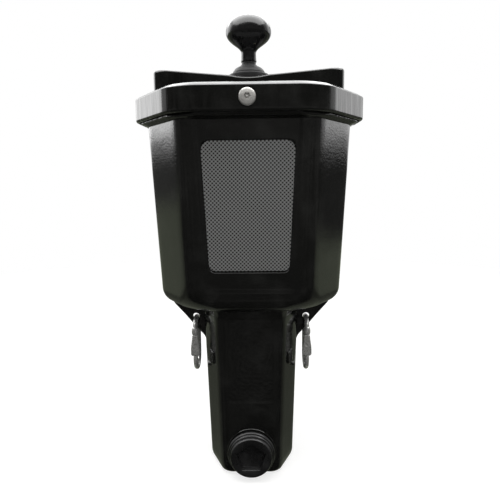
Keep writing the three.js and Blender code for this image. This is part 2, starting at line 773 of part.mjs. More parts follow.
function tankCasting() {
  const rim = prism(rounded(rimCorners, LID_CORNER), rimFloor, rimTop);
  const outside = joined(bowlOutside(), rim, ...sides.map(ear));
  const hollow = cut(outside, bowlInside(), drainChamber());
  const fitted = joined(hollow, common(joined(...guideSeats()), bowlOutside()), ...standoffs());
  const lidBores = sides.map((face) => {
    const bore = rod(SCREW_RADIUS + GAP, lidFront - SKIRT_WALL - SCREW_BITE - 2 * SKIRT_PLAY, lidFront);
    return (face < 0 ? facingFront(bore) : facingRear(bore)).translate(0, 0, lidScrewLevel);
  });
  return cut(
    fitted,
    bowlPanel(),
    labelPocket(),
    ...lidBores,
    ...standoffHoles(),
    ...guideRooms(),
    ...guideBores(),
    ...sides.map(eyeHole),
  );
}

const labelPlate = () =>
  onFace(
    extruded(trapezoid(LABEL_FOOT_WIDTH, LABEL_TOP_WIDTH, LABEL_HEIGHT, LABEL_CORNER), LABEL_THICKNESS)
      .translate(0, 0, GAP - labelSeat),
    bowlSlope,
    bowlFaceAt(labelFloor),
    labelFloor,
  );

// Lid
function lidShell() {
  const upper = lowerEdge(0, LID_EDGE, lidSide, lidFront, { x: 1, y: 1 })
    .reverse()
    .map(({ z, x, y }) => ({ z: lidTop - z, x, y }));
  const outside = stacked(rounded(lidCorners, LID_CORNER), [{ z: skirtFloor, x: 1, y: 1 }, ...upper]);
  const inside = prism(rounded(inset(lidCorners, SKIRT_WALL), LID_CORNER), skirtFloor - OVERRUN, lidFloor);
  return cut(outside, inside);
}

// The guard rises from its middle seat towards both ends.
function guard() {
  const half = GUARD_SEAT * HALF;
  const rampEnd = half + GUARD_SEAT_RAMP;
  const end = guardHalf + OVERRUN;
  const right = [
    [half, guardValley],
    [rampEnd, guardValley + GUARD_SEAT_DIP],
    [end, guardPeak],
    [end, lidFloor + GAP],
  ];
  const left = right.map(([x, z]) => [-x, z]).reverse();
  const profile = facingFront(extruded(polygon([...right, ...left].reverse()), 2 * guardDepthHalf)).translate(
    0,
    guardDepthHalf,
    0,
  );
  const plan = prism(
    rectangle(2 * guardHalf, 2 * guardDepthHalf, GUARD_CORNER),
    lidFloor + GAP,
    guardPeak + OVERRUN,
  );
  return common(profile, plan);
}

// One straight slot for the plate, a round one for the hub, and a lobe for each ball.
function lidSlot() {
  const floor = lidFloor - OVERRUN;
  const top = guardPeak + OVERRUN;
  const half = PADDLE_THICKNESS * HALF + SLOT_PLAY;
  return [
    box(-slotHalf, slotHalf, -half, half, floor, top),
    rod(HUB_RADIUS + HUB_PLAY, floor, top, ROUND_SIDES),
    ...pocketCentres.map((x) => rod(lobeRadius, floor, top, ROUND_SIDES).translate(x, 0, 0)),
  ];
}

function lidCasting() {
  const bores = facingFront(rod(SCREW_RADIUS + GAP, -lidFront - OVERRUN, lidFront + OVERRUN)).translate(
    0,
    0,
    lidScrewLevel,
  );
  return cut(joined(lidShell(), guard()), ...lidSlot(), bores);
}

const lidGasket = () =>
  cut(
    prism(rounded(rimCorners, LID_CORNER), gasketFloor, gasketFloor + GASKET_THICKNESS),
    prism(
      rounded(inset(bowlCorners, BOWL_WALL), BOWL_CORNER - BOWL_WALL),
      gasketFloor - OVERRUN,
      lidFloor + OVERRUN,
    ),
  );

function lidScrew(face) {
  const length = SKIRT_WALL + SKIRT_PLAY + SCREW_BITE;
  const blank = screwBlank(SCREW_HEAD_RADIUS, SCREW_HEAD_HEIGHT, SCREW_RADIUS, length);
  const floor = SCREW_HEAD_HEIGHT - SCREW_SOCKET_DEPTH;
  const top = SCREW_HEAD_HEIGHT + OVERRUN;
  const key = cut(
    prism(regular(SCREW_SOCKET_RADIUS, HEX_SIDES, 0), floor, top),
    prism(disc(SCREW_SOCKET_PIN), floor - OVERRUN, top + OVERRUN),
  );
  const screw = cut(blank, key).translate(0, 0, lidFront + GAP);
  return (face < 0 ? facingFront(screw) : facingRear(screw)).translate(0, 0, lidScrewLevel);
}

// Paddle, rod, knob and bumper
function paddlePlate() {
  const foot = paddleFootTop - PADDLE_FOOT_HEIGHT;
  const footHalf = paddleHalf - PADDLE_FOOT_INSET;
  const pocketFloor = pocketLevel - pocketRadius;
  const outline = rounded(
    [
      [-footHalf, foot],
      [footHalf, foot],
      [paddleHalf, pocketFloor],
      [paddleHalf, paddleTop],
      [-paddleHalf, paddleTop],
      [-paddleHalf, pocketFloor],
    ].map(([x, z]) => new THREE.Vector2(x, z)),
    PADDLE_CORNER,
  );
  const plate = facingFront(extruded(outline, PADDLE_THICKNESS)).translate(0, PADDLE_THICKNESS * HALF, 0);
  const bar = prism(
    rectangle(2 * footHalf, PADDLE_FOOT_THICKNESS, PADDLE_CORNER),
    foot,
    paddleFootTop,
  );
  const hub = rod(HUB_RADIUS, paddleTop - PADDLE_TOP_RIM, hubTop, ROUND_SIDES);
  const blank = joined(plate, bar, hub);
  const bore = rod(ROD_RADIUS + GAP, rodFloor - GAP, hubTop + OVERRUN);
  const pinBore = facingFront(rod(PIN_RADIUS + GAP, -HUB_RADIUS - OVERRUN, HUB_RADIUS + OVERRUN));
  const pockets = pocketCentres.map((x) =>
    facingFront(rod(pocketRadius, -PADDLE_FOOT_THICKNESS, PADDLE_FOOT_THICKNESS, ROUND_SIDES)).translate(
      x,
      0,
      pocketLevel,
    ),
  );
  return cut(blank, ...pockets, bore, pinBore.translate(0, 0, paddleTop + PIN_HEIGHT));
}

function paddleRod() {
  const shoulder = bumperFloor - GAP;
  const top = knobFloor + STUD_IN_KNOB;
  const bar = turned(
    [
      [0, rodFloor],
      [ROD_RADIUS, rodFloor],
      [ROD_RADIUS, shoulder],
      [STUD_RADIUS, shoulder],
      [STUD_RADIUS, top],
      [0, top],
    ],
    SMALL_SIDES,
  );
  const bore = facingFront(rod(PIN_RADIUS + GAP, -ROD_RADIUS - OVERRUN, ROD_RADIUS + OVERRUN));
  return cut(bar, bore.translate(0, 0, paddleTop + PIN_HEIGHT));
}

const paddlePin = () => {
  const half = HUB_RADIUS - PIN_SHORT;
  return facingFront(rod(PIN_RADIUS, -half, half)).translate(0, 0, paddleTop + PIN_HEIGHT);
};

function bumperDisc() {
  const top = bumperFloor + BUMPER_DISC_HEIGHT;
  return turned([
    [STUD_RADIUS + GAP, bumperFloor],
    [BUMPER_DISC_RADIUS - BUMPER_DISC_EDGE, bumperFloor],
    [BUMPER_DISC_RADIUS, bumperFloor + BUMPER_DISC_EDGE],
    [BUMPER_DISC_RADIUS, top - BUMPER_DISC_EDGE],
    [BUMPER_DISC_RADIUS - BUMPER_DISC_EDGE, top],
    [STUD_RADIUS + GAP, top],
    [STUD_RADIUS + GAP, bumperFloor],
  ]);
}

function bumperDome() {
  const top = domeFloor + BUMPER_DOME_HEIGHT;
  const crown = new THREE.Path();
  crown.moveTo(BUMPER_DOME_RADIUS, domeFloor + BUMPER_DISC_EDGE);
  crown.quadraticCurveTo(BUMPER_DOME_RADIUS, top, BUMPER_DOME_TOP_RADIUS, top);
  return turned([
    [STUD_RADIUS + GAP, domeFloor],
    [BUMPER_DOME_RADIUS, domeFloor],
    ...crown.getPoints(EDGE_STEPS).map((p) => [p.x, p.y]),
    [STUD_RADIUS + GAP, top],
    [STUD_RADIUS + GAP, domeFloor],
  ]);
}

const insertRadius = STUD_RADIUS + GAP + KNOB_INSERT_WALL;
const knobBoreTop = KNOB_INSERT_SET_IN + KNOB_INSERT_LENGTH + GAP;

function knob() {
  const wide = KNOB_NECK_HEIGHT + KNOB_SHOULDER_HEIGHT;
  const side = new THREE.Path();
  side.moveTo(KNOB_NECK_RADIUS, KNOB_NECK_HEIGHT);
  side.bezierCurveTo(
    KNOB_NECK_RADIUS,
    KNOB_NECK_HEIGHT + KNOB_SHOULDER_HEIGHT * HALF,
    KNOB_RADIUS,
    wide - KNOB_SHOULDER_HEIGHT * HALF,
    KNOB_RADIUS,
    wide,
  );
  side.absellipse(0, wide, KNOB_RADIUS, KNOB_DOME_HEIGHT, 0, quarter);
  const points = side.getPoints(KNOB_STEPS).map((p) => [Math.max(0, p.x), p.y]);
  points[points.length - 1][0] = 0;
  return turned([
    [0, knobBoreTop],
    [insertRadius + GAP, knobBoreTop],
    [insertRadius + GAP, 0],
    [KNOB_NECK_RADIUS, 0],
    ...points,
  ]).translate(0, 0, knobFloor);
}

const knobInsert = () =>
  ring(
    STUD_RADIUS + GAP,
    insertRadius,
    knobFloor + KNOB_INSERT_SET_IN,
    knobFloor + KNOB_INSERT_SET_IN + KNOB_INSERT_LENGTH,
    SMALL_SIDES,
  );

// Brushes and guides
function brushBoard(face) {
  const shape = rectangle(2 * boardHalf, BOARD_HEIGHT, BOARD_CORNER);
  const nearFace = face < 0 ? -boardFront : boardBack;
  const blank = facingFront(extruded(shape, BOARD_THICKNESS)).translate(0, nearFace, 0);
  const bores = boardScrews.map(({ x, z }) =>
    facingFront(rod(BOARD_SCREW_RADIUS + GAP, -boardBack - OVERRUN, boardBack + OVERRUN)).translate(
      x,
      0,
      z - pocketLevel,
    ),
  );
  return cut(blank, ...bores).translate(0, 0, pocketLevel);
}

function bristles(face) {
  const pack = box(
    -boardHalf,
    boardHalf,
    bristleFront,
    bristleFront + BRISTLE_LENGTH,
    pocketLevel - bristleHalfHeight,
    pocketLevel + bristleHalfHeight,
  );
  return face < 0 ? pack.rotateZ(Math.PI) : pack;
}

function boardScrew(face, { x, z }) {
  const length = BOARD_THICKNESS + GAP + BOARD_SCREW_BITE;
  const screw = screwBlank(PAN_HEAD_RADIUS, PAN_HEAD_HEIGHT, BOARD_SCREW_RADIUS, length);
  const seated = face < 0 ? facingRear(screw) : facingFront(screw);
  return seated.translate(x, face * (boardFront - GAP), z);
}

function guide(side) {
  const wide = GUIDE_WIDTH * HALF;
  const groove = PADDLE_THICKNESS * HALF + GUIDE_GROOVE_PLAY;
  const tall = GUIDE_HEIGHT * HALF;
  const bar = box(guideInner, guideOuter, -wide, wide, -tall, tall);
  const past = tall + OVERRUN;
  const tool = box(guideInner - OVERRUN, guideFloorOfGroove, -groove, groove, -past, past);
  const bores = guideScrews.map(({ y, z }) =>
    facingRight(rod(GUIDE_SCREW_RADIUS + GAP, guideInner - OVERRUN, guideOuter + OVERRUN)).translate(
      0,
      y,
      z - pocketLevel,
    ),
  );
  return cut(bar, tool, ...bores)
    .rotateZ(side < 0 ? Math.PI : 0)
    .translate(0, 0, pocketLevel);
}

function guideScrew(side, { y, z }) {
  const length = guideOuter - guideInner + GUIDE_SCREW_BITE + GAP;
  const screw = screwBlank(GUIDE_HEAD_RADIUS, GUIDE_HEAD_HEIGHT, GUIDE_SCREW_RADIUS, length);
  return screw
    .rotateY(-quarter)
    .translate(guideInner - GAP, y, z)
    .rotateZ(side < 0 ? Math.PI : 0);
}

// Drain plug and its seal
const sealFace = drainFace - GAP;
const plugFace = sealFace - SEAL_THICKNESS - GAP;

const drainSeal = () =>
  facingFront(
    ring(DRAIN_BORE_RADIUS + GAP, SEAL_RADIUS, -sealFace, -sealFace + SEAL_THICKNESS),
  ).translate(0, 0, drainLevel);

function drainPlug() {
  const base = -plugFace;
  const neckEnd = channelFront - PLUG_NECK_PAST_WALL;
  const flange = base + PLUG_FLANGE;
  const step = flange + PLUG_STEP;
  const front = step + PLUG_HEAD;
  const body = turned([
    [0, neckEnd],
    [DRAIN_BORE_RADIUS - GAP, neckEnd],
    [DRAIN_BORE_RADIUS - GAP, base],
    [PLUG_FLANGE_RADIUS, base],
    [PLUG_FLANGE_RADIUS, flange],
    [PLUG_STEP_RADIUS, flange],
    [PLUG_STEP_RADIUS, step],
    [PLUG_HEAD_RADIUS, step],
    [PLUG_HEAD_RADIUS, front - PLUG_EDGE],
    [PLUG_HEAD_RADIUS - PLUG_EDGE, front],
    [0, front],
  ]);
  const socket = prism(
    regular(PLUG_SOCKET_RADIUS, PLUG_SOCKET_SIDES, quarter),
    front - PLUG_SOCKET_DEPTH,
    front + OVERRUN,
  );
  return facingFront(cut(body, socket)).translate(0, 0, drainLevel);
}

// Post clamp screws with their jam nuts
function clampScrew(drop) {
  const headFloor = clampFace + CLAMP_OUTSIDE;
  const head = prism(regular(CLAMP_HEX_RADIUS, HEX_SIDES, 0), headFloor, headFloor + CLAMP_HEAD_HEIGHT);
  const shank = rod(CLAMP_RADIUS, socketRadius + GAP, headFloor + CLAMP_HEAD_HEIGHT * HALF);
  return facingRear(joined(head, shank)).translate(0, 0, -drop);
}

const jamNut = (drop) => {
  const floor = clampFace + GAP;
  const nut = prism(regular(CLAMP_HEX_RADIUS, HEX_SIDES, 0), floor, floor + JAM_NUT_HEIGHT);
  const bore = rod(CLAMP_RADIUS + GAP, floor - OVERRUN, floor + JAM_NUT_HEIGHT + OVERRUN);
  return facingRear(cut(nut, bore)).translate(0, 0, -drop);
};

// Snap hooks: a wire loop in the YZ plane, open at the front, drawn about the top of its wire.
class HookLine extends THREE.Curve {
  constructor() {
    super();
    const straight = hookReach - 2 * hookBend;
    this.runs = [HOOK_NOSE, Math.PI * hookBend, straight, Math.PI * hookBend];
    this.total = this.runs.reduce((sum, run) => sum + run);
  }

  getPoint(t, target = new THREE.Vector3()) {
    const [nose, bend, straight] = this.runs;
    const s = t * this.total;
    if (s < nose) return target.set(0, -hookBend, -hookBend - nose + s);
    if (s < nose + bend) {
      const angle = (s - nose) / hookBend;
      return target.set(0, -hookBend * Math.cos(angle), -hookBend + hookBend * Math.sin(angle));
    }
    if (s < nose + bend + straight) return target.set(0, hookBend, -hookBend - (s - nose - bend));
    const angle = (s - nose - bend - straight) / hookBend;
    return target.set(0, hookBend * Math.cos(angle), lowerBend - hookBend * Math.sin(angle));
  }
}

function hookBody() {
  const wire = new THREE.ExtrudeGeometry(regular(WIRE_RADIUS, WIRE_SIDES, 0), {
    steps: HOOK_STEPS,
    bevelEnabled: false,
    extrudePath: new HookLine(),
  });
  const half = TONGUE_THICKNESS * HALF;
  const tongue = box(
    -half,
    half,
    -hookBend - TONGUE_DEPTH * HALF,
    -hookBend + TONGUE_DEPTH * HALF,
    lowerBend - WIRE_RADIUS,
    lowerBend + TONGUE_LENGTH,
  );
  return cut(joined(wire, tongue), gatePinBore());
}

const gatePinBore = () =>
  facingRight(rod(GATE_PIN_RADIUS + GAP, -GATE_WIDTH, GATE_WIDTH)).translate(0, -hookBend, gatePivot);

// The gate is drawn about its pivot.
function gateBody() {
  const bar = prism(rectangle(GATE_WIDTH, GATE_DEPTH, GATE_CORNER), -GATE_PIVOT_TAIL, gateTop - gatePivot);
  const half = TONGUE_THICKNESS * HALF + GAP;
  const slot = box(-half, half, -GATE_DEPTH, GATE_DEPTH, -GATE_PIVOT_TAIL - OVERRUN, GATE_SLOT_RISE);
  return cut(bar, slot, gatePinBore().translate(0, hookBend, -gatePivot));
}

const gatePin = () => facingRight(rod(GATE_PIN_RADIUS, -GATE_WIDTH * HALF, GATE_WIDTH * HALF));

// Assembly
const washer = new THREE.Group();

const tank = new THREE.Group();
tank.add(
  piece("tank_casting", tankCasting(), POWDER_COAT),
  piece("tower_casting", towerCasting(), POWDER_COAT),
  piece("label_plate", labelPlate(), LABEL_FILM),
  piece("clamp_screw_upper", clampScrew(CLAMP_UPPER_DROP), STAINLESS),
  piece("clamp_screw_lower", clampScrew(clampLowerDrop), STAINLESS),
  piece("jam_nut_upper", jamNut(CLAMP_UPPER_DROP), STAINLESS),
  piece("jam_nut_lower", jamNut(clampLowerDrop), STAINLESS),
);

const lid = new THREE.Group();
lid.add(
  piece("lid_casting", lidCasting(), POWDER_COAT),
  piece("lid_gasket", lidGasket(), BLACK_RUBBER),
  piece("lid_screw_front", lidScrew(-1), STAINLESS),
  piece("lid_screw_rear", lidScrew(1), STAINLESS),
);

const brushes = new THREE.Group();
for (const [face, where] of [[-1, "front"], [1, "rear"]]) {
  brushes.add(piece(`brush_board_${where}`, brushBoard(face), BOARD_PLASTIC));
  brushes.add(piece(`bristles_${where}`, bristles(face), BRISTLE));
  boardScrews.forEach((place, i) => {
    brushes.add(piece(`board_screw_${where}_${i + 1}`, boardScrew(face, place), STAINLESS));
  });
}
for (const [side, where] of [[-1, "left"], [1, "right"]]) {
  brushes.add(piece(`guide_${where}`, guide(side), BOARD_PLASTIC));
  guideScrews.forEach((place, i) => {
    brushes.add(piece(`guide_screw_${where}_${i + 1}`, guideScrew(side, place), STAINLESS));
  });
}

const agitator = new THREE.Group();
agitator.add(
  piece("paddle", paddlePlate(), PADDLE_PLASTIC),
  piece("paddle_rod", paddleRod(), STAINLESS),
  piece("paddle_pin", paddlePin(), STAINLESS),
  piece("bumper_disc", bumperDisc(), BLACK_RUBBER),
  piece("bumper_dome", bumperDome(), BLACK_RUBBER),
  piece("knob", knob(), BLACK_NYLON),
  piece("knob_insert", knobInsert(), BRASS),
);

const drain = new THREE.Group();
drain.add(
  piece("drain_plug", drainPlug(), BLACK_NYLON),
  piece("drain_seal", drainSeal(), BLACK_RUBBER),
);

washer.add(tank, lid, brushes, agitator, drain);

for (const [side, where] of [[-1, "left"], [1, "right"]]) {
  const hook = new THREE.Group();
  const gate = piece(`hook_gate_${where}`, gateBody(), STAINLESS);
  const pin = piece(`gate_pin_${where}`, gatePin(), STAINLESS);
  hook.position.set(side * eyeX, earCentre, hookLevel);
  gate.position.set(0, -hookBend, gatePivot);
  pin.position.copy(gate.position);
  hook.add(piece(`hook_${where}`, hookBody(), STAINLESS), gate, pin);
  washer.add(hook);
}

export default washer;
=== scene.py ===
"""Looks of a post-mounted golf ball washer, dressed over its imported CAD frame.

Lengths in the classes are millimetres; a mesh is scaled to metres when it is made.
"""

import json
import logging
import math
from dataclasses import dataclass
from enum import Enum

import bmesh
import bpy
import numpy as np
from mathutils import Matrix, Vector


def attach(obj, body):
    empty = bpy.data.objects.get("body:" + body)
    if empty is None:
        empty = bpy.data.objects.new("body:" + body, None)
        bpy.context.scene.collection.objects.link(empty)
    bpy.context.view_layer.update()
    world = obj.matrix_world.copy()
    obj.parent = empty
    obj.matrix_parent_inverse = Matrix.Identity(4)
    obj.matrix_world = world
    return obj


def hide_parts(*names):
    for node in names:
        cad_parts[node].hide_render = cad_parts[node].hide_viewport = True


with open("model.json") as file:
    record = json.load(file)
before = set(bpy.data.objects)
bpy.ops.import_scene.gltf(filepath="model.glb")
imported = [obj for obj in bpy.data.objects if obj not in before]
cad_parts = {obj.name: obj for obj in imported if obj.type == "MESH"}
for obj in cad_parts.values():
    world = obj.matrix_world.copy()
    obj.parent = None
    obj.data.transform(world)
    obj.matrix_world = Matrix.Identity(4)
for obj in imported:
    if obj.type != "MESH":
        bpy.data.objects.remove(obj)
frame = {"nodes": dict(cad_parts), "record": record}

MM = 0.001
TAU = 2.0 * math.pi
log = logging.getLogger("washer")


def smooth_share(low: float, high: float, value: np.ndarray) -> np.ndarray:
    """Cubic step from 0 at low to 1 at high: t*t*(3-2t) with t = (value-low)/(high-low).

    Args:
        low: Value where the step starts.
        high: Value where the step ends.
        value: Array of values.

    Returns:
        Array of shares from 0 to 1.
    """
    t = np.clip((value - low) / (high - low), 0.0, 1.0)
    return t * t * (3.0 - 2.0 * t)


def stations(*runs: tuple[float, float, int]) -> np.ndarray:
    """Places along a line, evenly spaced in each of several runs.

    Args:
        runs: Start, end and count of each run, in rising order.

    Returns:
        The places in order, with those that two runs share kept once.
    """
    return np.unique(np.round(np.concatenate([np.linspace(*run) for run in runs]), 6))


def quarter(steps: int) -> np.ndarray:
    """Angles from 0 to 90 degrees in even steps, in radians."""
    return np.linspace(0.0, math.pi / 2, steps)


def full_turn(count: int) -> np.ndarray:
    """Angles of a full turn in even steps from 0, in radians."""
    return np.arange(count) * TAU / count


def both_ways(shares: np.ndarray) -> tuple[float, ...]:
    """Shares from 0 to 1 taken to both sides of 0, in rising order."""
    return tuple(np.unique(np.concatenate([-shares, shares])))


def sided(what: str, side: int) -> str:
    """Name of one of a pair, where side is -1 for the left and 1 for the right."""
    return f"{what}_{'right' if side > 0 else 'left'}"


def faced(what: str, face: int) -> str:
    """Name of one of a pair, where face is -1 for the front and 1 for the rear."""
    return f"{what}_{'rear' if face > 0 else 'front'}"


def carried(points: np.ndarray, columns: tuple[str, str, str]) -> np.ndarray:
    """Turns points by naming where each axis goes.

    Args:
        points: Array of shape (count, 3).
        columns: For X, Y and Z of the result, the source axis, such as "x", "-z" or "y".

    Returns:
        The turned points.
    """
    picks = [("xyz".index(c[-1]), -1.0 if c[0] == "-" else 1.0) for c in columns]
    return np.stack([points[:, i] * sign for i, sign in picks], axis=-1)


def ring_at(radius: float | np.ndarray, angle: np.ndarray, height: float) -> np.ndarray:
    """A level ring about +Z: (r cos a, r sin a, h) at each angle a."""
    level = np.full(len(angle), height)
    return np.stack([radius * np.cos(angle), radius * np.sin(angle), level], axis=-1)


def levelled(plan: np.ndarray, height: np.ndarray) -> np.ndarray:
    """Sets each row of a plan at its height.

    Args:
        plan: Points of shape (levels, columns, 2).
        height: Height of each level.

    Returns:
        Points of shape (levels, columns, 3).
    """
    rise = np.broadcast_to(np.asarray(height)[:, None, None], (*plan.shape[:2], 1))
    return np.concatenate([plan, rise], axis=-1)


def inward_of(loop: np.ndarray) -> np.ndarray:
    """Unit vectors into a counter-clockwise loop, square to the chord across each point.

    Args:
        loop: Points of the loop.

    Returns:
        A vector for each point.
    """
    along = np.roll(loop, -1, axis=0) - np.roll(loop, 1, axis=0)
    along = along / np.linalg.norm(along, axis=1, keepdims=True)
    return np.stack([-along[:, 1], along[:, 0]], axis=1)


def foot_edge(floor: float, roll: float, steps: int) -> tuple[np.ndarray, np.ndarray]:
    """A rounded lower edge: z = floor + r(1 - cos a), moved in by r(1 - sin a).

    Args:
        floor: Height of its lowest point.
        roll: Its radius r.
        steps: Number of rows.

    Returns:
        Height and inset of each row.
    """
    angle = quarter(steps)
    return floor + roll * (1 - np.cos(angle)), roll * (1 - np.sin(angle))


@dataclass
class Shell:
    """One or more closed surfaces as arrays of points and faces, in millimetres."""

    points: np.ndarray
    quads: np.ndarray
    tris: np.ndarray

    @classmethod
    def from_rows(cls, rows: np.ndarray, ring: bool = False) -> "Shell":
        """Joins rows of points into a closed surface that faces outwards.

        Args:
            rows: Points of shape (rows, columns, 3); the columns close on themselves.
            ring: True if the last row joins the first, else both ends get a fan.

        Returns:
            The surface, turned so that its signed volume is positive.
        """
        count, around = rows.shape[:2]
        index = np.arange(count * around).reshape(count, around)
        upper = np.roll(index, -1, axis=0) if ring else index[1:]
        lower = index if ring else index[:-1]
        quads = np.stack(
            [lower, np.roll(lower, -1, axis=1), np.roll(upper, -1, axis=1), upper], axis=-1
        ).reshape(-1, 4)
        points = rows.reshape(-1, 3)
        tris = np.zeros((0, 3), int)
        if not ring:
            poles = np.stack([rows[0].mean(0), rows[-1].mean(0)])
            first, last = len(points), len(points) + 1
            points = np.concatenate([points, poles])
            start, end = index[0], index[-1]
            tris = np.concatenate(
                [
                    np.stack([np.full(around, first), np.roll(start, -1), start], axis=-1),
                    np.stack([np.full(around, last), end, np.roll(end, -1)], axis=-1),
                ]
            )
        return cls(points, quads, tris).facing_out()

    def facing_out(self) -> "Shell":
        """Turns the faces round where the signed volume, the sum of a . (b x c) / 6, is negative.

        Returns:
            The surface, facing outwards.
        """
        corners = np.concatenate([self.tris, self.quads[:, [0, 1, 2]], self.quads[:, [0, 2, 3]]])
        a, b, c = (self.points[corners[:, k]] for k in range(3))
        if np.einsum("ij,ij->", a, np.cross(b, c)) < 0:
            return Shell(self.points, self.quads[:, ::-1], self.tris[:, ::-1])
        return self

    def joined(self, *others: "Shell") -> "Shell":
        """Puts several surfaces side by side in one.

        Args:
            others: The other surfaces.

        Returns:
            All of them as one.
        """
        shells = [self, *others]
        starts = np.cumsum([0] + [len(s.points) for s in shells[:-1]])
        return Shell(
            np.concatenate([s.points for s in shells]),
            np.concatenate([s.quads + n for s, n in zip(shells, starts)]),
            np.concatenate([s.tris + n for s, n in zip(shells, starts)]),
        )

    def placed(self, columns: tuple[str, str, str], offset: tuple[float, float, float]) -> "Shell":
        """Turns the surface by naming where each axis goes, then moves it.

        Args:
            columns: For X, Y and Z of the result, the source axis, such as "x", "-z" or "y".
            offset: Move in millimetres, made after the turn.

        Returns:
            The turned surface, facing outwards.
        """
        moved = carried(self.points, columns) + np.array(offset)
        return Shell(moved, self.quads, self.tris).facing_out()

    def mirrored(self) -> "Shell":
        """The same surface on the other side of the middle plane."""
        return self.placed(("-x", "y", "z"), (0.0, 0.0, 0.0))

    def made(self, name: str, crease: float | None = None) -> bpy.types.Object:
        """Makes a Blender object of the surface.

        Args:
            name: Name of the piece.
            crease: Angle in degrees above which an edge is shaded sharp, or None.

        Returns:
            The object at the origin, its mesh in metres.
        """
        mesh = bpy.data.meshes.new(name)
        mesh.vertices.add(len(self.points))
        mesh.vertices.foreach_set("co", (self.points * MM).astype(np.float32).ravel())
        mesh.loops.add(self.quads.size + self.tris.size)
        corners = np.concatenate([self.quads.ravel(), self.tris.ravel()])
        mesh.loops.foreach_set("vertex_index", corners.astype(np.int32))
        starts = np.concatenate(
            [np.arange(len(self.quads)) * 4, self.quads.size + np.arange(len(self.tris)) * 3]
        )
        mesh.polygons.add(len(starts))
        mesh.polygons.foreach_set("loop_start", starts.astype(np.int32))
        mesh.polygons.foreach_set("use_smooth", np.ones(len(starts), bool))
        mesh.update(calc_edges=True)
        mesh.validate()
        if crease is not None:
            mesh.set_sharp_from_angle(angle=math.radians(crease))
        made = bpy.data.objects.new(name, mesh)
        bpy.context.scene.collection.objects.link(made)
        return made


def softened(points: list[tuple[float, float]], setbacks: list[float], steps: int = 5) -> np.ndarray:
    """An open line whose inner corners are rounded by quadratic curves.

    Each corner c between a and b becomes (1-t)^2 s + 2t(1-t) c + t^2 e, with s and e the points
    a set distance before and after it.

    Args:
        points: Corners of the line.
        setbacks: For each corner, how far from it the curve starts; 0 keeps it sharp.
        steps: Points along each curve.

    Returns:
        Points of the rounded line.
    """
    made = [np.array([points[0]], float)]
    t = np.linspace(0.0, 1.0, steps)[:, None]
    for before, corner, after, setback in zip(points, points[1:], points[2:], setbacks[1:-1]):
        c = np.array(corner, float)
        if setback <= 0:
            made.append(c[None])
            continue
        to_before, to_after = np.array(before) - c, np.array(after) - c
        s = c + to_before * min(0.5, setback / np.linalg.norm(to_before))
        e = c + to_after * min(0.5, setback / np.linalg.norm(to_after))
        made.append((1 - t) ** 2 * s + 2 * t * (1 - t) * c + t**2 * e)
    made.append(np.array([points[-1]], float))
    return np.concatenate(made)


def turned(profile: np.ndarray, around: int = 96, ring: bool = False) -> Shell:
    """A surface of revolution about +Z: (r cos a, r sin a, h) for each [r, h] and angle a.

    Args:
        profile: Radius and height of each row.
        around: Columns in a full turn.
        ring: True if the profile closes on itself.

    Returns:
        The closed surface.
    """
    angle = full_turn(around)
    return Shell.from_rows(np.stack([ring_at(r, angle, h) for r, h in profile]), ring)


@dataclass(frozen=True)
class Outline:
    """A closed eight-cornered outline with rounded corners, the same columns at every level."""

    corner_steps: int = 9
    run_steps: int = 7
    front_stations: tuple[float, ...] = ()
    band_share: float = 0.3

    def at(self, corners: np.ndarray, setback: np.ndarray) -> np.ndarray:
        """Points of the outline at each level.

        A corner is a quadratic curve drawn part of the way towards its chord, which leaves the
        shallow facet of a cast corner band.

        Args:
            corners: Corners of shape (levels, 8, 2), the first two the ends of the front.
            setback: How far from its corner each curve starts, one for each level, or one for
                each level and corner.

        Returns:
            Points of shape (levels, columns, 2).
        """
        even = np.linspace(0.0, 1.0, self.run_steps)[1:-1]
        front = (np.array(self.front_stations) + 1.0) / 2.0 if self.front_stations else even
        t = np.linspace(0.0, 1.0, self.corner_steps)[None, :, None]
        before, after = np.roll(corners, 1, axis=1), np.roll(corners, -1, axis=1)
        reach = setback.reshape(len(setback), -1, 1)

        def towards(other: np.ndarray) -> np.ndarray:
            """Start or end of every corner's curve.

            Args:
                other: The corners before, or those after.

            Returns:
                Points of shape (levels, corners, 2).
            """
            gap = other - corners
            length = np.linalg.norm(gap, axis=-1, keepdims=True)
            return corners + gap * np.minimum(0.5, reach / length)

        starts, ends = towards(before), towards(after)
        made = []
        for i in range(corners.shape[1]):
            s, c, e = starts[:, i, None], corners[:, i, None], ends[:, i, None]
            curve = (1 - t) ** 2 * s + 2 * t * (1 - t) * c + t**2 * e
            made.append((1 - self.band_share) * curve + self.band_share * ((1 - t) * s + t * e))
            share = (front if i == 0 else even)[None, :, None]
            following = starts[:, (i + 1) % corners.shape[1], None]
            made.append((1 - share) * e + share * following)
        return np.concatenate(made, axis=1)


def eight_corners(front: float, flat: float, side: float, ahead: float, behind: float,
                  rear: float, rear_flat: float) -> np.ndarray:
    """Corners of an eight-sided plan, from the left end of the front, seen from above.

    Args:
        front: Distance of the front from the middle.
        flat: Width of the front.
        side: Distance of each side from the middle.
        ahead: How far each side's flat reaches forwards.
        behind: How far each side's flat reaches back.
        rear: Distance of the rear.
        rear_flat: Width of the rear.

    Returns:
        Array of eight points.
    """
    half, rear_half = flat / 2, rear_flat / 2
    return np.array(
        [
            (-half, -front), (half, -front), (side, -ahead), (side, behind),
            (rear_half, rear), (-rear_half, rear), (-side, behind), (-side, -ahead),
        ]
    )


@dataclass(frozen=True)
class EvenPlan:
    """An eight-sided plan that is the same ahead and behind, with rounded corners."""

    front: float
    front_flat: float
    side: float
    side_flat: float

    def corners(self) -> np.ndarray:
        """Its corners, from the left end of the front."""
        half = self.side_flat / 2
        return eight_corners(self.front, self.front_flat, self.side, half, half, self.front,
                             self.front_flat)


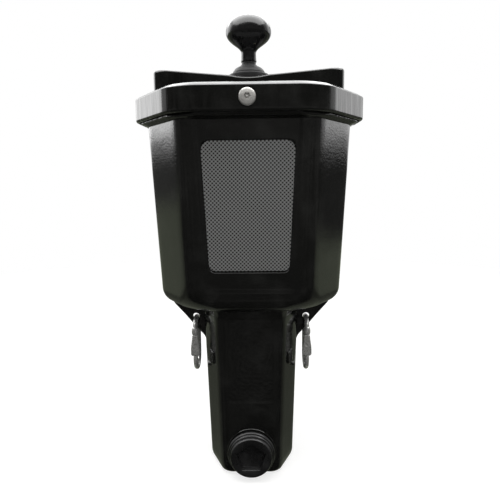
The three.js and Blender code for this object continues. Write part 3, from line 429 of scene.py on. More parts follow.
LID_PLAN = EvenPlan(front=103.0, front_flat=143.0, side=123.4, side_flat=50.0)
LID_SETBACKS = (20.0, 6.0)
CORNER_KINDS = [0, 0, 1, 1, 0, 0, 1, 1]


def moved_in(corners: np.ndarray, distance: float) -> np.ndarray:
    """Moves each side of a convex outline inwards by one distance.

    Side i runs from corner i along unit d; its line moves to corner + n*distance, with n = d
    turned left, and each new corner is where two moved lines cross.

    Args:
        corners: Corners in counter-clockwise order.
        distance: How far in.

    Returns:
        The new corners.
    """
    along = np.roll(corners, -1, axis=0) - corners
    along = along / np.linalg.norm(along, axis=1, keepdims=True)
    start = corners + np.stack([-along[:, 1], along[:, 0]], axis=1) * distance
    d0, s0 = np.roll(along, 1, axis=0), np.roll(start, 1, axis=0)
    gap = start - s0
    cross = d0[:, 0] * along[:, 1] - d0[:, 1] * along[:, 0]
    run = (gap[:, 0] * along[:, 1] - gap[:, 1] * along[:, 0]) / cross
    return s0 + d0 * run[:, None]


@dataclass(frozen=True)
class Recess:
    """A shallow recess in an upright front, its outline a trapezoid with rounded corners.

    floor and height are measured upwards, foot and top are its widths there, and soft is how
    far in from its outline it takes to reach its depth.
    """

    floor: float
    height: float
    foot: float
    top: float
    corner: float
    depth: float
    soft: float

    def sunk(self, x: np.ndarray, z: np.ndarray) -> np.ndarray:
        """How deep the recess is at points of the front.

        With p = (distance past the slanted side, distance past the nearer end) + corner, the
        distance from the outline is |max(p, 0)| + min(max(p), 0) - corner, negative inside.

        Args:
            x: Place across.
            z: Height.

        Returns:
            Depth at each point.
        """
        rise = z - self.floor
        lean = (self.top - self.foot) / 2 / self.height
        side = (np.abs(x) - self.foot / 2 - lean * rise) / math.hypot(1.0, lean) + self.corner
        end = np.abs(rise - self.height / 2) - self.height / 2 + self.corner
        outside = np.hypot(np.maximum(side, 0.0), np.maximum(end, 0.0))
        distance = outside + np.minimum(np.maximum(side, end), 0.0) - self.corner
        return self.depth * (1 - smooth_share(-self.soft, 0.0, distance))


def stacked(loop: np.ndarray, inset: np.ndarray, height: np.ndarray) -> Shell:
    """A solid made of one loop in rows, each moved in by its inset and set at its height.

    Args:
        loop: Points of the outline, counter-clockwise, in the XY plane.
        inset: How far in each row lies.
        height: Height of each row, rising.

    Returns:
        The closed solid.
    """
    plan = loop[None] + inward_of(loop)[None] * inset[:, None, None]
    return Shell.from_rows(levelled(plan, height))


def relief(outline: np.ndarray, floor: float, top: float, edge: float) -> Shell:
    """A raised pad: an outline carried up from floor and rounded in to a flat top.

    The rows of the edge lie at h = top - edge(1 - sin a), in from the side by edge(1 - cos a).

    Args:
        outline: Points of the outline, counter-clockwise, in the XY plane.
        floor: Height where it starts.
        top: Height of its flat.
        edge: Radius of the rounded edge.

    Returns:
        The closed surface, rising along +Z.
    """
    angle = quarter(6)
    inset = np.concatenate([[0.0], edge * (1 - np.cos(angle)), [edge * 1.6]])
    height = np.concatenate([[floor], top - edge * (1 - np.sin(angle)), [top]])
    return stacked(outline, inset, height)


def rounded_loop(corners: list[tuple[float, float]], *setback: float, steps: int = 8,
                 run_steps: int = 2) -> np.ndarray:
    """A closed loop with every corner rounded by a quadratic curve.

    Args:
        corners: Corners, counter-clockwise.
        setback: How far from its corner each curve starts, one for all or one for each.
        steps: Points along each curve.
        run_steps: Points along each straight run, its ends not counted.

    Returns:
        Points of the loop.
    """
    c = np.array(corners, float)[None]
    outline = Outline(corner_steps=steps, run_steps=run_steps + 2, band_share=0.0)
    return outline.at(c, np.array([setback], float))[0]


def flat_part(name: str, loops: list[np.ndarray], thickness: float, bevel: float,
              columns: tuple[str, str, str], offset: tuple[float, float, float]) -> bpy.types.Object:
    """A plate with holes and softened edges, cut from a flat curve.

    Args:
        name: Name of the piece.
        loops: The outline and each hole, in the plate's own plane.
        thickness: Thickness of the plate, half to each side of its plane.
        bevel: Radius of its edges.
        columns: Where each axis goes, as in Shell.placed.
        offset: Move after the turn.

    Returns:
        The object, its mesh in place and in metres.
    """
    curve = bpy.data.curves.new(name, "CURVE")
    curve.dimensions = "2D"
    curve.fill_mode = "BOTH"
    curve.extrude = (thickness / 2 - bevel) * MM
    curve.bevel_depth = bevel * MM
    curve.bevel_resolution = 2
    curve.offset = -bevel * MM
    for loop in loops:
        spline = curve.splines.new("POLY")
        spline.points.add(len(loop) - 1)
        padded = np.zeros((len(loop), 4))
        padded[:, :2] = loop * MM
        padded[:, 3] = 1.0
        spline.points.foreach_set("co", padded.ravel())
        spline.use_cyclic_u = True
    holder = bpy.data.objects.new(name + "_line", curve)
    bpy.context.scene.collection.objects.link(holder)
    mesh = bpy.data.meshes.new_from_object(holder.evaluated_get(bpy.context.evaluated_depsgraph_get()))
    bpy.data.objects.remove(holder)
    work = bmesh.new()
    work.from_mesh(mesh)
    bmesh.ops.remove_doubles(work, verts=work.verts, dist=1e-6)
    work.to_mesh(mesh)
    work.free()
    points = np.zeros(len(mesh.vertices) * 3, np.float32)
    mesh.vertices.foreach_get("co", points)
    points = points.reshape(-1, 3)
    moved = carried(points, columns) + np.array(offset) * MM
    mesh.vertices.foreach_set("co", moved.astype(np.float32).ravel())
    work = bmesh.new()
    work.from_mesh(mesh)
    bmesh.ops.recalc_face_normals(work, faces=work.faces)
    work.to_mesh(mesh)
    work.free()
    mesh.polygons.foreach_set("use_smooth", np.ones(len(mesh.polygons), bool))
    mesh.update()
    mesh.set_sharp_from_angle(angle=math.radians(32))
    mesh.name = name
    made = bpy.data.objects.new(name, mesh)
    bpy.context.scene.collection.objects.link(made)
    return made


def tube(path: np.ndarray, radius: np.ndarray, around: int = 18) -> Shell:
    """A round bar along a path in a plane of constant x.

    With tangent t, across (1,0,0) and n = across x t, a ring is p + r (cos a across + sin a n).

    Args:
        path: Points of the centre line.
        radius: Radius at each point.
        around: Points in each ring.

    Returns:
        The closed bar.
    """
    tangent = np.gradient(path, axis=0)
    tangent = tangent / np.linalg.norm(tangent, axis=1, keepdims=True)
    across = np.array([1.0, 0.0, 0.0])
    normal = np.cross(across, tangent)
    angle = full_turn(around)
    rows = (
        path[:, None]
        + radius[:, None, None] * np.cos(angle)[None, :, None] * across
        + radius[:, None, None] * np.sin(angle)[None, :, None] * normal[:, None]
    )
    return Shell.from_rows(rows)


class Slot(Enum):
    """Material slots of the record."""

    COAT = "powder_coat"
    LABEL = "label_film"
    SEAL = "rubber_seal"
    BUMPER = "bumper_rubber"
    STAINLESS = "stainless"
    HOOK = "hook_steel"
    BOARD = "board_plastic"
    BRISTLE = "bristle"
    PADDLE = "paddle_plastic"
    KNOB = "knob_plastic"
    BRASS = "brass"
    PLUG = "plug_plastic"


class Nodes:
    """A node tree being built, with short ways to add and join its nodes."""

    def __init__(self, tree: bpy.types.NodeTree) -> None:
        """Takes the tree that the nodes go into."""
        self.tree = tree

    def feed(self, target: bpy.types.NodeSocket, source: object) -> None:
        """Joins a socket to an input, or sets the input to a value.

        Args:
            target: The input.
            source: A socket or a value.
        """
        if isinstance(source, bpy.types.NodeSocket):
            self.tree.links.new(source, target)
        else:
            target.default_value = source

    def node(self, kind: str, *sources: object, **settings: object) -> bpy.types.Node:
        """Adds a node.

        Args:
            kind: Type of the node.
            sources: Sockets or values for its first inputs, in order.
            settings: Its properties.

        Returns:
            The node.
        """
        made = self.tree.nodes.new(kind)
        for key, value in settings.items():
            setattr(made, key, value)
        for target, source in zip(made.inputs, sources):
            self.feed(target, source)
        return made

    def place(self, kind: str = "Object") -> bpy.types.NodeSocket:
        """Adds texture coordinates of one kind."""
        return self.node("ShaderNodeTexCoord").outputs[kind]

    def maths(self, operation: str, *terms: object) -> bpy.types.NodeSocket:
        """Adds a Math node over sockets or numbers."""
        return self.node("ShaderNodeMath", *terms, operation=operation).outputs[0]

    def noise(self, place: bpy.types.NodeSocket, scale: object, detail: float,
              roughness: float = 0.5) -> bpy.types.NodeSocket:
        """Adds noise.

        Args:
            place: Coordinates.
            scale: Cells in a unit of them, as a socket or a number.
            detail: Octaves.
            roughness: Weight of the finer ones.

        Returns:
            The noise value.
        """
        made = self.node("ShaderNodeTexNoise", place)
        for label, value in (("Scale", scale), ("Detail", detail), ("Roughness", roughness)):
            self.feed(made.inputs[label], value)
        return made.outputs["Fac"]

    def mapped(self, value: bpy.types.NodeSocket, low: float, high: float,
               to: tuple[float, float] = (0.0, 1.0), smooth: bool = False) -> bpy.types.NodeSocket:
        """Maps a value to a range and holds it inside.

        Args:
            value: The value.
            low: Where it gives the start of the range.
            high: Where it gives the end of the range.
            to: The range.
            smooth: True for a smooth step, False for a straight line.

        Returns:
            The mapped value.
        """
        shape = "SMOOTHSTEP" if smooth else "LINEAR"
        made = self.node("ShaderNodeMapRange", value, low, high, *to, interpolation_type=shape)
        return made.outputs["Result"]

    def coloured(self, value: bpy.types.NodeSocket,
                 *stops: tuple[float, tuple]) -> bpy.types.NodeSocket:
        """Turns a value into a colour.

        Args:
            value: A value from 0 to 1.
            stops: Place and colour of each stop of the ramp.

        Returns:
            The colour.
        """
        made = self.node("ShaderNodeValToRGB", value)
        elements = made.color_ramp.elements
        while len(elements) < len(stops):
            elements.new(0.5)
        for element, (place, colour) in zip(elements, stops):
            element.position = place
            element.color = (*colour, 1.0)
        return made.outputs["Color"]


class Group(Nodes):
    """A shader node group with named value sockets, built once."""

    def __init__(self, name: str, inputs: dict[str, float], outputs: list[str]) -> None:
        """Makes the empty group.

        Args:
            name: Name of the group.
            inputs: Its inputs with their defaults.
            outputs: Names of its outputs.
        """
        super().__init__(bpy.data.node_groups.new(name, "ShaderNodeTree"))
        for label, value in inputs.items():
            made = self.tree.interface.new_socket(label, in_out="INPUT", socket_type="NodeSocketFloat")
            made.default_value = value
        for label in outputs:
            self.tree.interface.new_socket(label, in_out="OUTPUT", socket_type="NodeSocketFloat")
        self.inlet = self.node("NodeGroupInput")
        self.outlet = self.node("NodeGroupOutput")

    def give(self, label: str, source: bpy.types.NodeSocket) -> None:
        """Joins a socket to an output of the group."""
        self.feed(self.outlet.inputs[label], source)


class ShaderGroups:
    """The effects that several finishes share."""

    def __init__(self) -> None:
        """Builds each group once."""
        self.cast_skin = self.build_cast_skin()
        self.handling = self.build_handling()
        self.weave = self.build_weave()
        self.drawn_grain = self.build_drawn_grain()
        self.panel_skin = self.build_panel_skin()

    @staticmethod
    def build_cast_skin() -> Group:
        """Height of a coated casting: slow ripple, orange peel and sand grain, each weighted.

        Returns:
            The group.
        """
        made = Group("cast_skin", {"Ripple": 1.0, "Peel": 0.3, "Grain": 0.1, "Ripple Scale": 45.0,
                                   "Peel Scale": 260.0}, ["Height"])
        into, place = made.inlet.outputs, made.place()
        ripple = made.maths("MULTIPLY", made.noise(place, into["Ripple Scale"], 1.5), into["Ripple"])
        peel = made.maths("MULTIPLY", made.noise(place, into["Peel Scale"], 2.0, 0.55), into["Peel"])
        grain = made.maths("MULTIPLY", made.noise(place, 900.0, 1.0), into["Grain"])
        made.give("Height", made.maths("ADD", made.maths("ADD", ripple, peel), grain))
        return made

    @staticmethod
    def build_handling() -> Group:
        """Patches of handling and dust: soft noise raised by how far the surface faces up.

        Returns:
            The group.
        """
        made = Group("handling", {"Scale": 28.0, "Sky Dust": 0.3}, ["Mask"])
        into = made.inlet.outputs
        patch = made.noise(made.place(), into["Scale"], 4.0, 0.6)
        facing = made.node("ShaderNodeNewGeometry").outputs["Normal"]
        split = made.node("ShaderNodeSeparateXYZ", facing)
        upward = made.maths("MAXIMUM", split.outputs["Z"], 0.0)
        lifted = made.maths("ADD", patch, made.maths("MULTIPLY", upward, into["Sky Dust"]))
        made.give("Mask", made.mapped(lifted, 0.45, 0.7, smooth=True))
        return made

    @staticmethod
    def build_weave() -> Group:
        """Staggered dots of a printed film: sin(2 pi x / P) sin(2 pi z / P) with the pitch P.

        Returns:
            The group.
        """
        made = Group("diamond_weave", {"Pitch": 0.003}, ["Check", "Thread"])
        turn = made.maths("DIVIDE", TAU, made.inlet.outputs["Pitch"])
        x, _, z = made.node("ShaderNodeSeparateXYZ", made.place()).outputs
        run = made.maths("SINE", made.maths("MULTIPLY", x, turn))
        rise = made.maths("SINE", made.maths("MULTIPLY", z, turn))
        product = made.maths("MULTIPLY", run, rise)
        made.give("Check", made.maths("MULTIPLY_ADD", product, 0.5, 0.5))
        made.give("Thread", made.maths("ABSOLUTE", product))
        return made

    @staticmethod
    def build_panel_skin() -> Group:
        """Leather-like pebbles inside an upright rectangle of the front, flat outside it.

        The pebbles are the distance to the nearest of scattered points.

        Returns:
            The group.
        """
        made = Group("panel_skin", {"Half Width": 0.025, "Foot": -0.045, "Top": 0.051,
                                    "Front": -0.058, "Cells": 330.0}, ["Height"])
        into, place = made.inlet.outputs, made.place()
        x, y, z = made.node("ShaderNodeSeparateXYZ", place).outputs
        side = made.maths("SUBTRACT", into["Half Width"], made.maths("ABSOLUTE", x))
        ahead = made.maths("SUBTRACT", into["Front"], y)
        above = made.maths("SUBTRACT", z, into["Foot"])
        below = made.maths("SUBTRACT", into["Top"], z)
        nearest = made.maths("MINIMUM", made.maths("MINIMUM", side, ahead),
                             made.maths("MINIMUM", above, below))
        pebbles = made.node("ShaderNodeTexVoronoi", place, feature="SMOOTH_F1")
        made.feed(pebbles.inputs["Scale"], into["Cells"])
        made.give("Height", made.maths("MULTIPLY", pebbles.outputs["Distance"],
                                       made.mapped(nearest, 0.0, 0.0015, smooth=True)))
        return made

    @staticmethod
    def build_drawn_grain() -> Group:
        """Fine lines of turned or drawn metal: noise stretched along the height.

        Returns:
            The group.
        """
        made = Group("drawn_grain", {"Along": 60.0, "Across": 1800.0}, ["Height"])
        across, along = made.inlet.outputs["Across"], made.inlet.outputs["Along"]
        scale = made.node("ShaderNodeCombineXYZ", across, across, along).outputs[0]
        place = made.node("ShaderNodeVectorMath", made.place(), scale, operation="MULTIPLY")
        made.give("Height", made.noise(place.outputs[0], 1.0, 2.0))
        return made


class Paint(Nodes):
    """A material being built, with the Principled BSDF in the material itself."""

    def __init__(self, name: str) -> None:
        """Starts a material that holds one Principled BSDF.

        Args:
            name: Name of the material.
        """
        self.material = bpy.data.materials.new(name)
        self.material.use_nodes = True
        super().__init__(self.material.node_tree)
        self.shader = self.tree.nodes["Principled BSDF"]

    def surface(self, **values: object) -> None:
        """Feeds inputs of the shader; underscores in a name stand for spaces."""
        for key, value in values.items():
            self.feed(self.shader.inputs[key.replace("_", " ")], value)

    def group(self, group: Group, **values: float) -> bpy.types.bpy_prop_collection:
        """Adds a group with its own values, and gives its outputs.

        Args:
            group: The group.
            values: Its inputs, with underscores for spaces.

        Returns:
            The outputs.
        """
        made = self.node("ShaderNodeGroup", node_tree=group.tree)
        for key, value in values.items():
            made.inputs[key.replace("_", " ")].default_value = value
        return made.outputs

    def handled(self, groups: ShaderGroups, marks: tuple[float, float], colours: tuple[tuple, tuple],
                roughness: tuple[float, float]) -> None:
        """Spreads handling and dust over the finish.

        Args:
            groups: The shared groups.
            marks: Scale of the patches, and how much dust lies on what faces up.
            colours: Colour of the clean finish and of the marked one.
            roughness: Roughness of the same two.
        """
        mask = self.group(groups.handling, Scale=marks[0], Sky_Dust=marks[1])["Mask"]
        self.surface(Base_Color=self.coloured(mask, (0.0, colours[0]), (1.0, colours[1])),
                     Roughness=self.mapped(mask, 0.0, 1.0, roughness))

    def bump(self, height: bpy.types.NodeSocket, depth: float) -> None:
        """Feeds the normal with a height whose full range is a depth in millimetres.

        Args:
            height: The height.
            depth: Millimetres that a height of 1 stands for.
        """
        made = self.node("ShaderNodeBump")
        for label, value in (("Strength", 1.0), ("Distance", depth * MM), ("Height", height)):
            self.feed(made.inputs[label], value)
        self.surface(Normal=made.outputs["Normal"])


@dataclass(frozen=True)
class PowderCoat:
    """Gloss black powder coat over a sand casting."""

    name: str
    colour: tuple[float, float, float] = (0.0055, 0.0056, 0.0052)
    ripple: float = 0.5
    ripple_scale: float = 48.0
    peel: float = 0.05
    peel_scale: float = 420.0
    smooth: float = 0.07
    worn: float = 0.18
    streaks: float = 0.0
    pebbles: float = 0.0

    def made(self, groups: ShaderGroups) -> bpy.types.Material:
        """Builds the material; the heights are parts of 0.3 mm.

        Args:
            groups: The shared groups.

        Returns:
            The material.
        """
        paint = Paint(self.name)
        height = paint.group(groups.cast_skin, Ripple=self.ripple, Peel=self.peel, Grain=0.0,
                             Ripple_Scale=self.ripple_scale, Peel_Scale=self.peel_scale)["Height"]
        if self.streaks:
            runs = paint.group(groups.drawn_grain, Along=14.0, Across=120.0)["Height"]
            height = paint.maths("MULTIPLY_ADD", runs, self.streaks, height)
        if self.pebbles:
            panel = paint.group(groups.panel_skin)["Height"]
            height = paint.maths("MULTIPLY_ADD", panel, self.pebbles, height)
        dusty = tuple(c * 1.8 + 0.0015 for c in self.colour)
        paint.handled(groups, (30.0, 0.12), (self.colour, dusty), (self.smooth, self.worn))
        paint.bump(height, 0.3)
        paint.surface(Specular_IOR_Level=0.5)
        return paint.material


@dataclass(frozen=True)
class LabelFilm:
    """Grey film printed with small dark dots, under a satin laminate."""

    name: str = "label_film"
    dark: tuple[float, float, float] = (0.011, 0.0112, 0.0112)
    light: tuple[float, float, float] = (0.225, 0.228, 0.226)
    pitch: float = 3.8

    def made(self, groups: ShaderGroups) -> bpy.types.Material:
        """Builds the material.

        Args:
            groups: The shared groups.

        Returns:
            The material.
        """
        paint = Paint(self.name)
        weave = paint.group(groups.weave, Pitch=self.pitch * MM)
        print_colour = paint.coloured(weave["Check"], (0.3, self.dark), (0.62, self.light),
                                      (0.95, tuple(c * 0.9 for c in self.light)))
        mask = paint.group(groups.handling, Scale=40.0, Sky_Dust=0.0)["Mask"]
        paint.surface(Base_Color=print_colour, Specular_IOR_Level=0.35,
                      Roughness=paint.mapped(mask, 0.0, 1.0, (0.34, 0.48)))
        paint.bump(weave["Thread"], 0.02)
        return paint.material


@dataclass(frozen=True)
class Moulded:
    """Moulded plastic or rubber with a fine skin and handling marks."""

    name: str
    colour: tuple[float, float, float]
    smooth: float
    worn: float
    depth: float = 0.05
    specular: float = 0.4

    def made(self, groups: ShaderGroups) -> bpy.types.Material:
        """Builds the material.

        Args:
            groups: The shared groups.

        Returns:
            The material.
        """
        paint = Paint(self.name)
        skin = paint.group(groups.cast_skin, Ripple=0.6, Peel=1.0, Grain=0.6, Ripple_Scale=70.0,
                           Peel_Scale=700.0)
        faded = tuple(min(1.0, c * 1.5 + 0.004) for c in self.colour)
        paint.handled(groups, (45.0, 0.15), (self.colour, faded), (self.smooth, self.worn))
        paint.bump(skin["Height"], self.depth)
        paint.surface(Specular_IOR_Level=self.specular)
        return paint.material


@dataclass(frozen=True)
class BareMetal:
    """Bright metal with drawn grain and slight staining."""

    name: str
    colour: tuple[float, float, float]
    smooth: float
    worn: float
    metallic: float = 1.0

    def made(self, groups: ShaderGroups) -> bpy.types.Material:
        """Builds the material.

        Args:
            groups: The shared groups.

        Returns:
            The material.
        """
        paint = Paint(self.name)
        stained = tuple(c * 0.72 for c in self.colour)
        paint.handled(groups, (120.0, 0.0), (self.colour, stained), (self.smooth, self.worn))
        paint.bump(paint.group(groups.drawn_grain)["Height"], 0.02)
        paint.surface(Metallic=self.metallic)
        return paint.material


class Wardrobe:
    """Every finish of the washer, built once."""

    def __init__(self) -> None:
        """Builds the shared groups, a material for each slot, and three more powder coats."""
        groups = ShaderGroups()
        finishes = {
            Slot.COAT: PowderCoat("powder_coat"),
            Slot.LABEL: LabelFilm(),
            Slot.KNOB: Moulded("knob_plastic", (0.01, 0.01, 0.0103), 0.13, 0.24, 0.03),
            Slot.PLUG: Moulded("plug_plastic", (0.007, 0.007, 0.0073), 0.26, 0.4, 0.04),
            Slot.PADDLE: Moulded("paddle_plastic", (0.012, 0.0125, 0.013), 0.4, 0.55),
            Slot.BUMPER: Moulded("bumper_rubber", (0.01, 0.01, 0.0104), 0.45, 0.62, 0.06, 0.3),
            Slot.SEAL: Moulded("rubber_seal", (0.018, 0.018, 0.018), 0.55, 0.7),
            Slot.BOARD: Moulded("board_plastic", (0.62, 0.6, 0.54), 0.42, 0.56),
            Slot.BRISTLE: Moulded("bristle", (0.7, 0.68, 0.6), 0.45, 0.6, 0.04),
            Slot.STAINLESS: BareMetal("stainless", (0.49, 0.48, 0.46), 0.42, 0.56, 0.6),
            Slot.HOOK: BareMetal("hook_steel", (0.66, 0.66, 0.645), 0.24, 0.42, 0.7),
            Slot.BRASS: BareMetal("brass", (0.62, 0.44, 0.18), 0.24, 0.4),
        }
        self.materials = {slot: finish.made(groups) for slot, finish in finishes.items()}
        self.coat_lid = PowderCoat("powder_coat_lid", peel=0.03, streaks=1.3).made(groups)
        self.coat_bowl = PowderCoat("powder_coat_bowl", peel=0.4, peel_scale=500.0,
                                    worn=0.1).made(groups)
        self.coat_tower = PowderCoat("powder_coat_tower", peel=0.07, pebbles=0.7).made(groups)

    def dress(self, piece: bpy.types.Object, slot: Slot, body: str, *nodes: str,
              look: bpy.types.Material | None = None) -> None:
        """Gives a piece its material, that of its slot unless a look is given, hangs it on its body and
        hides the CAD nodes that it stands for.

        Args:
            piece: The finished piece.
            slot: The record's slot of its material.
            body: CAD body that it rides on.
            nodes: CAD nodes that it replaces.
            look: Its material, where that isn't the slot's own.
        """
        piece.data.materials.clear()
        piece.data.materials.append(look or self.materials[slot])
        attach(piece, body)
        if nodes:
            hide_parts(*nodes)
        log.info("%s: %d faces on %s", piece.name, len(piece.data.polygons), body)


FORWARDS = ("x", "-z", "y")
BACKWARDS = ("x", "z", "y")
CLAMP_DROPS = (("upper", 35.0), ("lower", 90.0))


@dataclass
class TankBody:
    """The cast tank: bowl with its rim and recessed front, tower with socket, ears and bosses."""

    finishes: Wardrobe
    plan: EvenPlan = EvenPlan(front=92.0, front_flat=136.0, side=110.8, side_flat=56.0)
    foot_share: tuple[float, float] = (100.6 / 110.8, 85.0 / 92.0)
    floor: float = 57.8
    roll: float = 17.0
    wall: float = 5.5
    rim_floor: float = 254.5
    rim_top: float = 277.0
    rim_inset: float = 5.5
    setbacks: tuple[float, float] = (9.0, 6.5)
    foot_setback: float = 27.0
    panel: Recess = Recess(floor=80.5, height=176.0, foot=92.2, top=107.5, corner=4.0, depth=1.4,
                           soft=5.0)
    label: Recess = Recess(floor=101.6, height=130.5, foot=82.3, top=93.1, corner=7.5, depth=2.6,
                           soft=1.3)
    tower_front: float = 70.0
    tower_foot_front: float = 61.25
    tower_side: float = 53.9
    tower_foot_side: float = 47.9
    tower_rear: float = 42.0
    tower_top: float = 62.0
    tower_foot: float = -130.0
    tower_roll: float = 6.5
    tower_setbacks: tuple[float, float] = (7.0, 5.0)
    socket: float = 30.75
    tower_panel: Recess = Recess(floor=-45.0, height=96.0, foot=49.2, top=50.8, corner=3.5,
                                 depth=1.0, soft=1.8)
    drain_level: float = -102.0

    def bowl(self) -> bpy.types.Object:
        """The bowl as one closed surface: up the outside, over the rim and down the inside.

        Returns:
            The piece.
        """
        corners = self.plan.corners()
        half = np.array([self.plan.side, self.plan.front])
        foot = np.array(self.foot_share)
        shoulder = self.floor + self.roll
        ahead, aside = self.setbacks
        levels = []

        def outside_setback(height: float) -> tuple[float, float]:
            """Setbacks of the front and side corners, the front's growing towards the foot."""
            near = 1 - smooth_share(self.floor + 1.0, 90.0, np.array(height))
            return ahead + (self.foot_setback - ahead) * float(near) ** 1.3, aside

        z, inset = foot_edge(self.floor, self.roll, 14)
        for height, gone in zip(z[:-1], inset[:-1]):
            levels.append((corners * (foot - gone / half), height, outside_setback(height)))
        straight = stations((shoulder, 100.0, 34), (100.0, 104.0, 26), (104.0, 222.0, 20),
                            (222.0, 237.0, 24), (237.0, self.rim_floor - 3.0, 8))
        share = np.clip((straight - shoulder) / (self.rim_top - shoulder), 0.0, 1.0)
        for height, part in zip(straight, share):
            levels.append((corners * (foot + (1 - foot) * part), height, outside_setback(height)))
        outside_count = len(levels)
        rim = moved_in(LID_PLAN.corners(), self.rim_inset)
        top = corners * (foot + (1 - foot) * 0.98)
        for step in np.linspace(0.0, 1.0, 7):
            flare = math.sin(step * math.pi / 2) ** 1.5
            levels.append((top + (rim - top) * flare, self.rim_floor - 3.0 + 4.0 * step,
                           (ahead + (LID_SETBACKS[0] - ahead) * step, aside)))
        inside = (ahead - 2.0, aside)
        inner, inner_half = moved_in(corners, self.wall), half - self.wall
        inner_foot = (inner_half - [12.0, 7.0]) / inner_half
        levels += [
            (rim, self.rim_top - 1.2, LID_SETBACKS),
            (moved_in(rim, 1.2), self.rim_top, inside),
            (inner, self.rim_top, inside),
            (moved_in(inner, 0.8), self.rim_top - 1.0, inside),
            (inner * (inner_foot + (1 - inner_foot) * 0.5), 170.0, inside),
            (inner * inner_foot, 80.0, inside),
        ]
        z, inset = foot_edge(self.floor + self.wall, 12.5, 6)
        for height, gone in zip(z[::-1], inset[::-1]):
            levels.append((inner * (inner_foot - gone / half), height, inside))
        rows, heights, setbacks = (np.array(column) for column in zip(*levels))
        outline = Outline(corner_steps=11, run_steps=9,
                          front_stations=both_ways(stations((0.0, 0.45, 8), (0.45, 0.96, 62))))
        grid = levelled(outline.at(rows, setbacks[:, CORNER_KINDS]), heights)
        outside = grid[:outside_count]
        outside[..., 1] += self.front_recess(outside)
        return Shell.from_rows(grid).made("tank_bowl", 50)

    def front_recess(self, grid: np.ndarray) -> np.ndarray:
        """How far each point of the front moves back for the panel and for the label's seat.

        Args:
            grid: Points of the outside.

        Returns:
            Distance back along Y.
        """
        x, y, z = grid[..., 0], grid[..., 1], grid[..., 2]
        on_front = smooth_share(-0.60, -0.75, y / self.plan.front) * (np.abs(x) < 70.0)
        return self.panel.sunk(x, z) * on_front + self.label.sunk(x, z) * on_front

    def tower(self) -> bpy.types.Object:
        """The tower: foot, outside up to the bowl, and the round socket for the post.

        Returns:
            The piece.
        """
        corners = eight_corners(self.tower_front, 69.0, self.tower_side, 25.0, 18.0,
                                self.tower_rear, 56.0)
        half = np.array([self.tower_side, self.tower_front])
        foot = np.array([self.tower_foot_side, self.tower_foot_front]) / half
        z, inset = foot_edge(self.tower_foot, self.tower_roll, 12)
        rows = [corners * (foot - gone / half) for gone in inset[:-1]]
        straight = stations((self.tower_foot + self.tower_roll, -50.0, 12), (-50.0, -40.0, 16),
                            (-40.0, 45.0, 14), (45.0, self.tower_top, 24))
        for height in straight:
            part = (height - self.tower_foot) / (self.tower_top - self.tower_foot)
            flare = 0.045 * smooth_share(46.0, self.tower_top, np.array(height)) ** 1.5
            rows.append(corners * (foot + (1 - foot) * part) * (1 + flare))
        outline = Outline(run_steps=8,
                          front_stations=both_ways(stations((0.0, 0.6, 6), (0.6, 0.97, 26))))
        setbacks = np.tile(np.array(self.tower_setbacks)[CORNER_KINDS], (len(rows), 1))
        grid = levelled(outline.at(np.array(rows), setbacks), np.concatenate([z[:-1], straight]))
        on_front = smooth_share(-0.80, -0.85, grid[..., 1] / self.tower_front)
        grid[..., 1] += self.tower_panel.sunk(grid[..., 0], grid[..., 2]) * on_front
        angle = np.arctan2(grid[0, :, 1], grid[0, :, 0])
        bore = [ring_at(radius, angle, height) for radius, height in (
            (self.socket - 1.0, 0.0), (self.socket, -1.0), (self.socket, self.tower_foot + 1.2),
            (self.socket + 1.2, self.tower_foot))]
        return Shell.from_rows(np.concatenate([bore, grid])).made("tank_tower", 50)

    def ear(self, side: int) -> bpy.types.Object:
        """A side plate with its eye, set a little ahead of the middle.

        Args:
            side: -1 for the left, 1 for the right.

        Returns:
            The piece.
        """
        corners = [(44.0, 73.5), (44.0, -4.0), (49.8, -4.0), (50.9, 5.5), (54.6, 15.0), (64.7, 26.0),
                   (76.6, 40.2), (89.2, 54.2), (92.3, 61.0), (93.3, 73.5)]
        outline = rounded_loop(corners, 3.0, steps=6, run_steps=3)
        eye = ring_at(4.0, full_turn(40), 0.0)[:, :2] + [63.95, 37.5]
        columns = ("x" if side > 0 else "-x", "z", "y")
        return flat_part(sided("tank_ear", side), [outline, eye], 8.0, 1.2, columns, (0.0, -10.0, 0.0))

    def pad(self, side: int) -> bpy.types.Object:
        """The round-bottomed pad on the slanted face between the tower's front and side.

        With t along the face, n out of it and p a point of it, (u, v, w) goes to p + u t + v z + w n.

        Args:
            side: -1 for the left, 1 for the right.

        Returns:
            The piece.
        """
        half, tall, edge = 6.5, 16.0, 1.2
        arc = np.linspace(math.pi, TAU, 22)
        bottom = np.stack([half * np.cos(arc), half - tall + half * np.sin(arc)], axis=-1)
        top = [(half, -edge), (half - edge, 0.0), (edge - half, 0.0), (-half, -edge)]
        flat = relief(np.concatenate([bottom, top]), -4.0, 1.6, edge)
        along, out = np.array([0.39, 0.921, 0.0]), np.array([0.921, -0.39, 0.0])
        middle, up = np.array([42.75, -45.7, 8.0]), np.array([0.0, 0.0, 1.0])
        u, v, w = (flat.points[:, k, None] for k in range(3))
        shell = Shell(middle + u * along + v * up + w * out, flat.quads, flat.tris).facing_out()
        return (shell.mirrored() if side < 0 else shell).made(sided("tank_pad", side), 50)

    def drain_boss(self) -> bpy.types.Object:
        """The round boss of the drain, just clear of the foot, with a softened face.

        Returns:
            The piece.
        """
        face = 64.95
        profile = softened([(0.0, 50.0), (27.8, 50.0), (27.8, 61.2), (27.3, 62.6), (27.0, face),
                            (14.2, face), (14.2, 50.5), (0.0, 50.5)],
                           [0, 0, 0.6, 0.5, 1.0, 0.4, 0, 0])
        boss = turned(profile[1:-1]).placed(FORWARDS, (0.0, 0.0, self.drain_level))
        return boss.made("tank_drain_boss", 40)

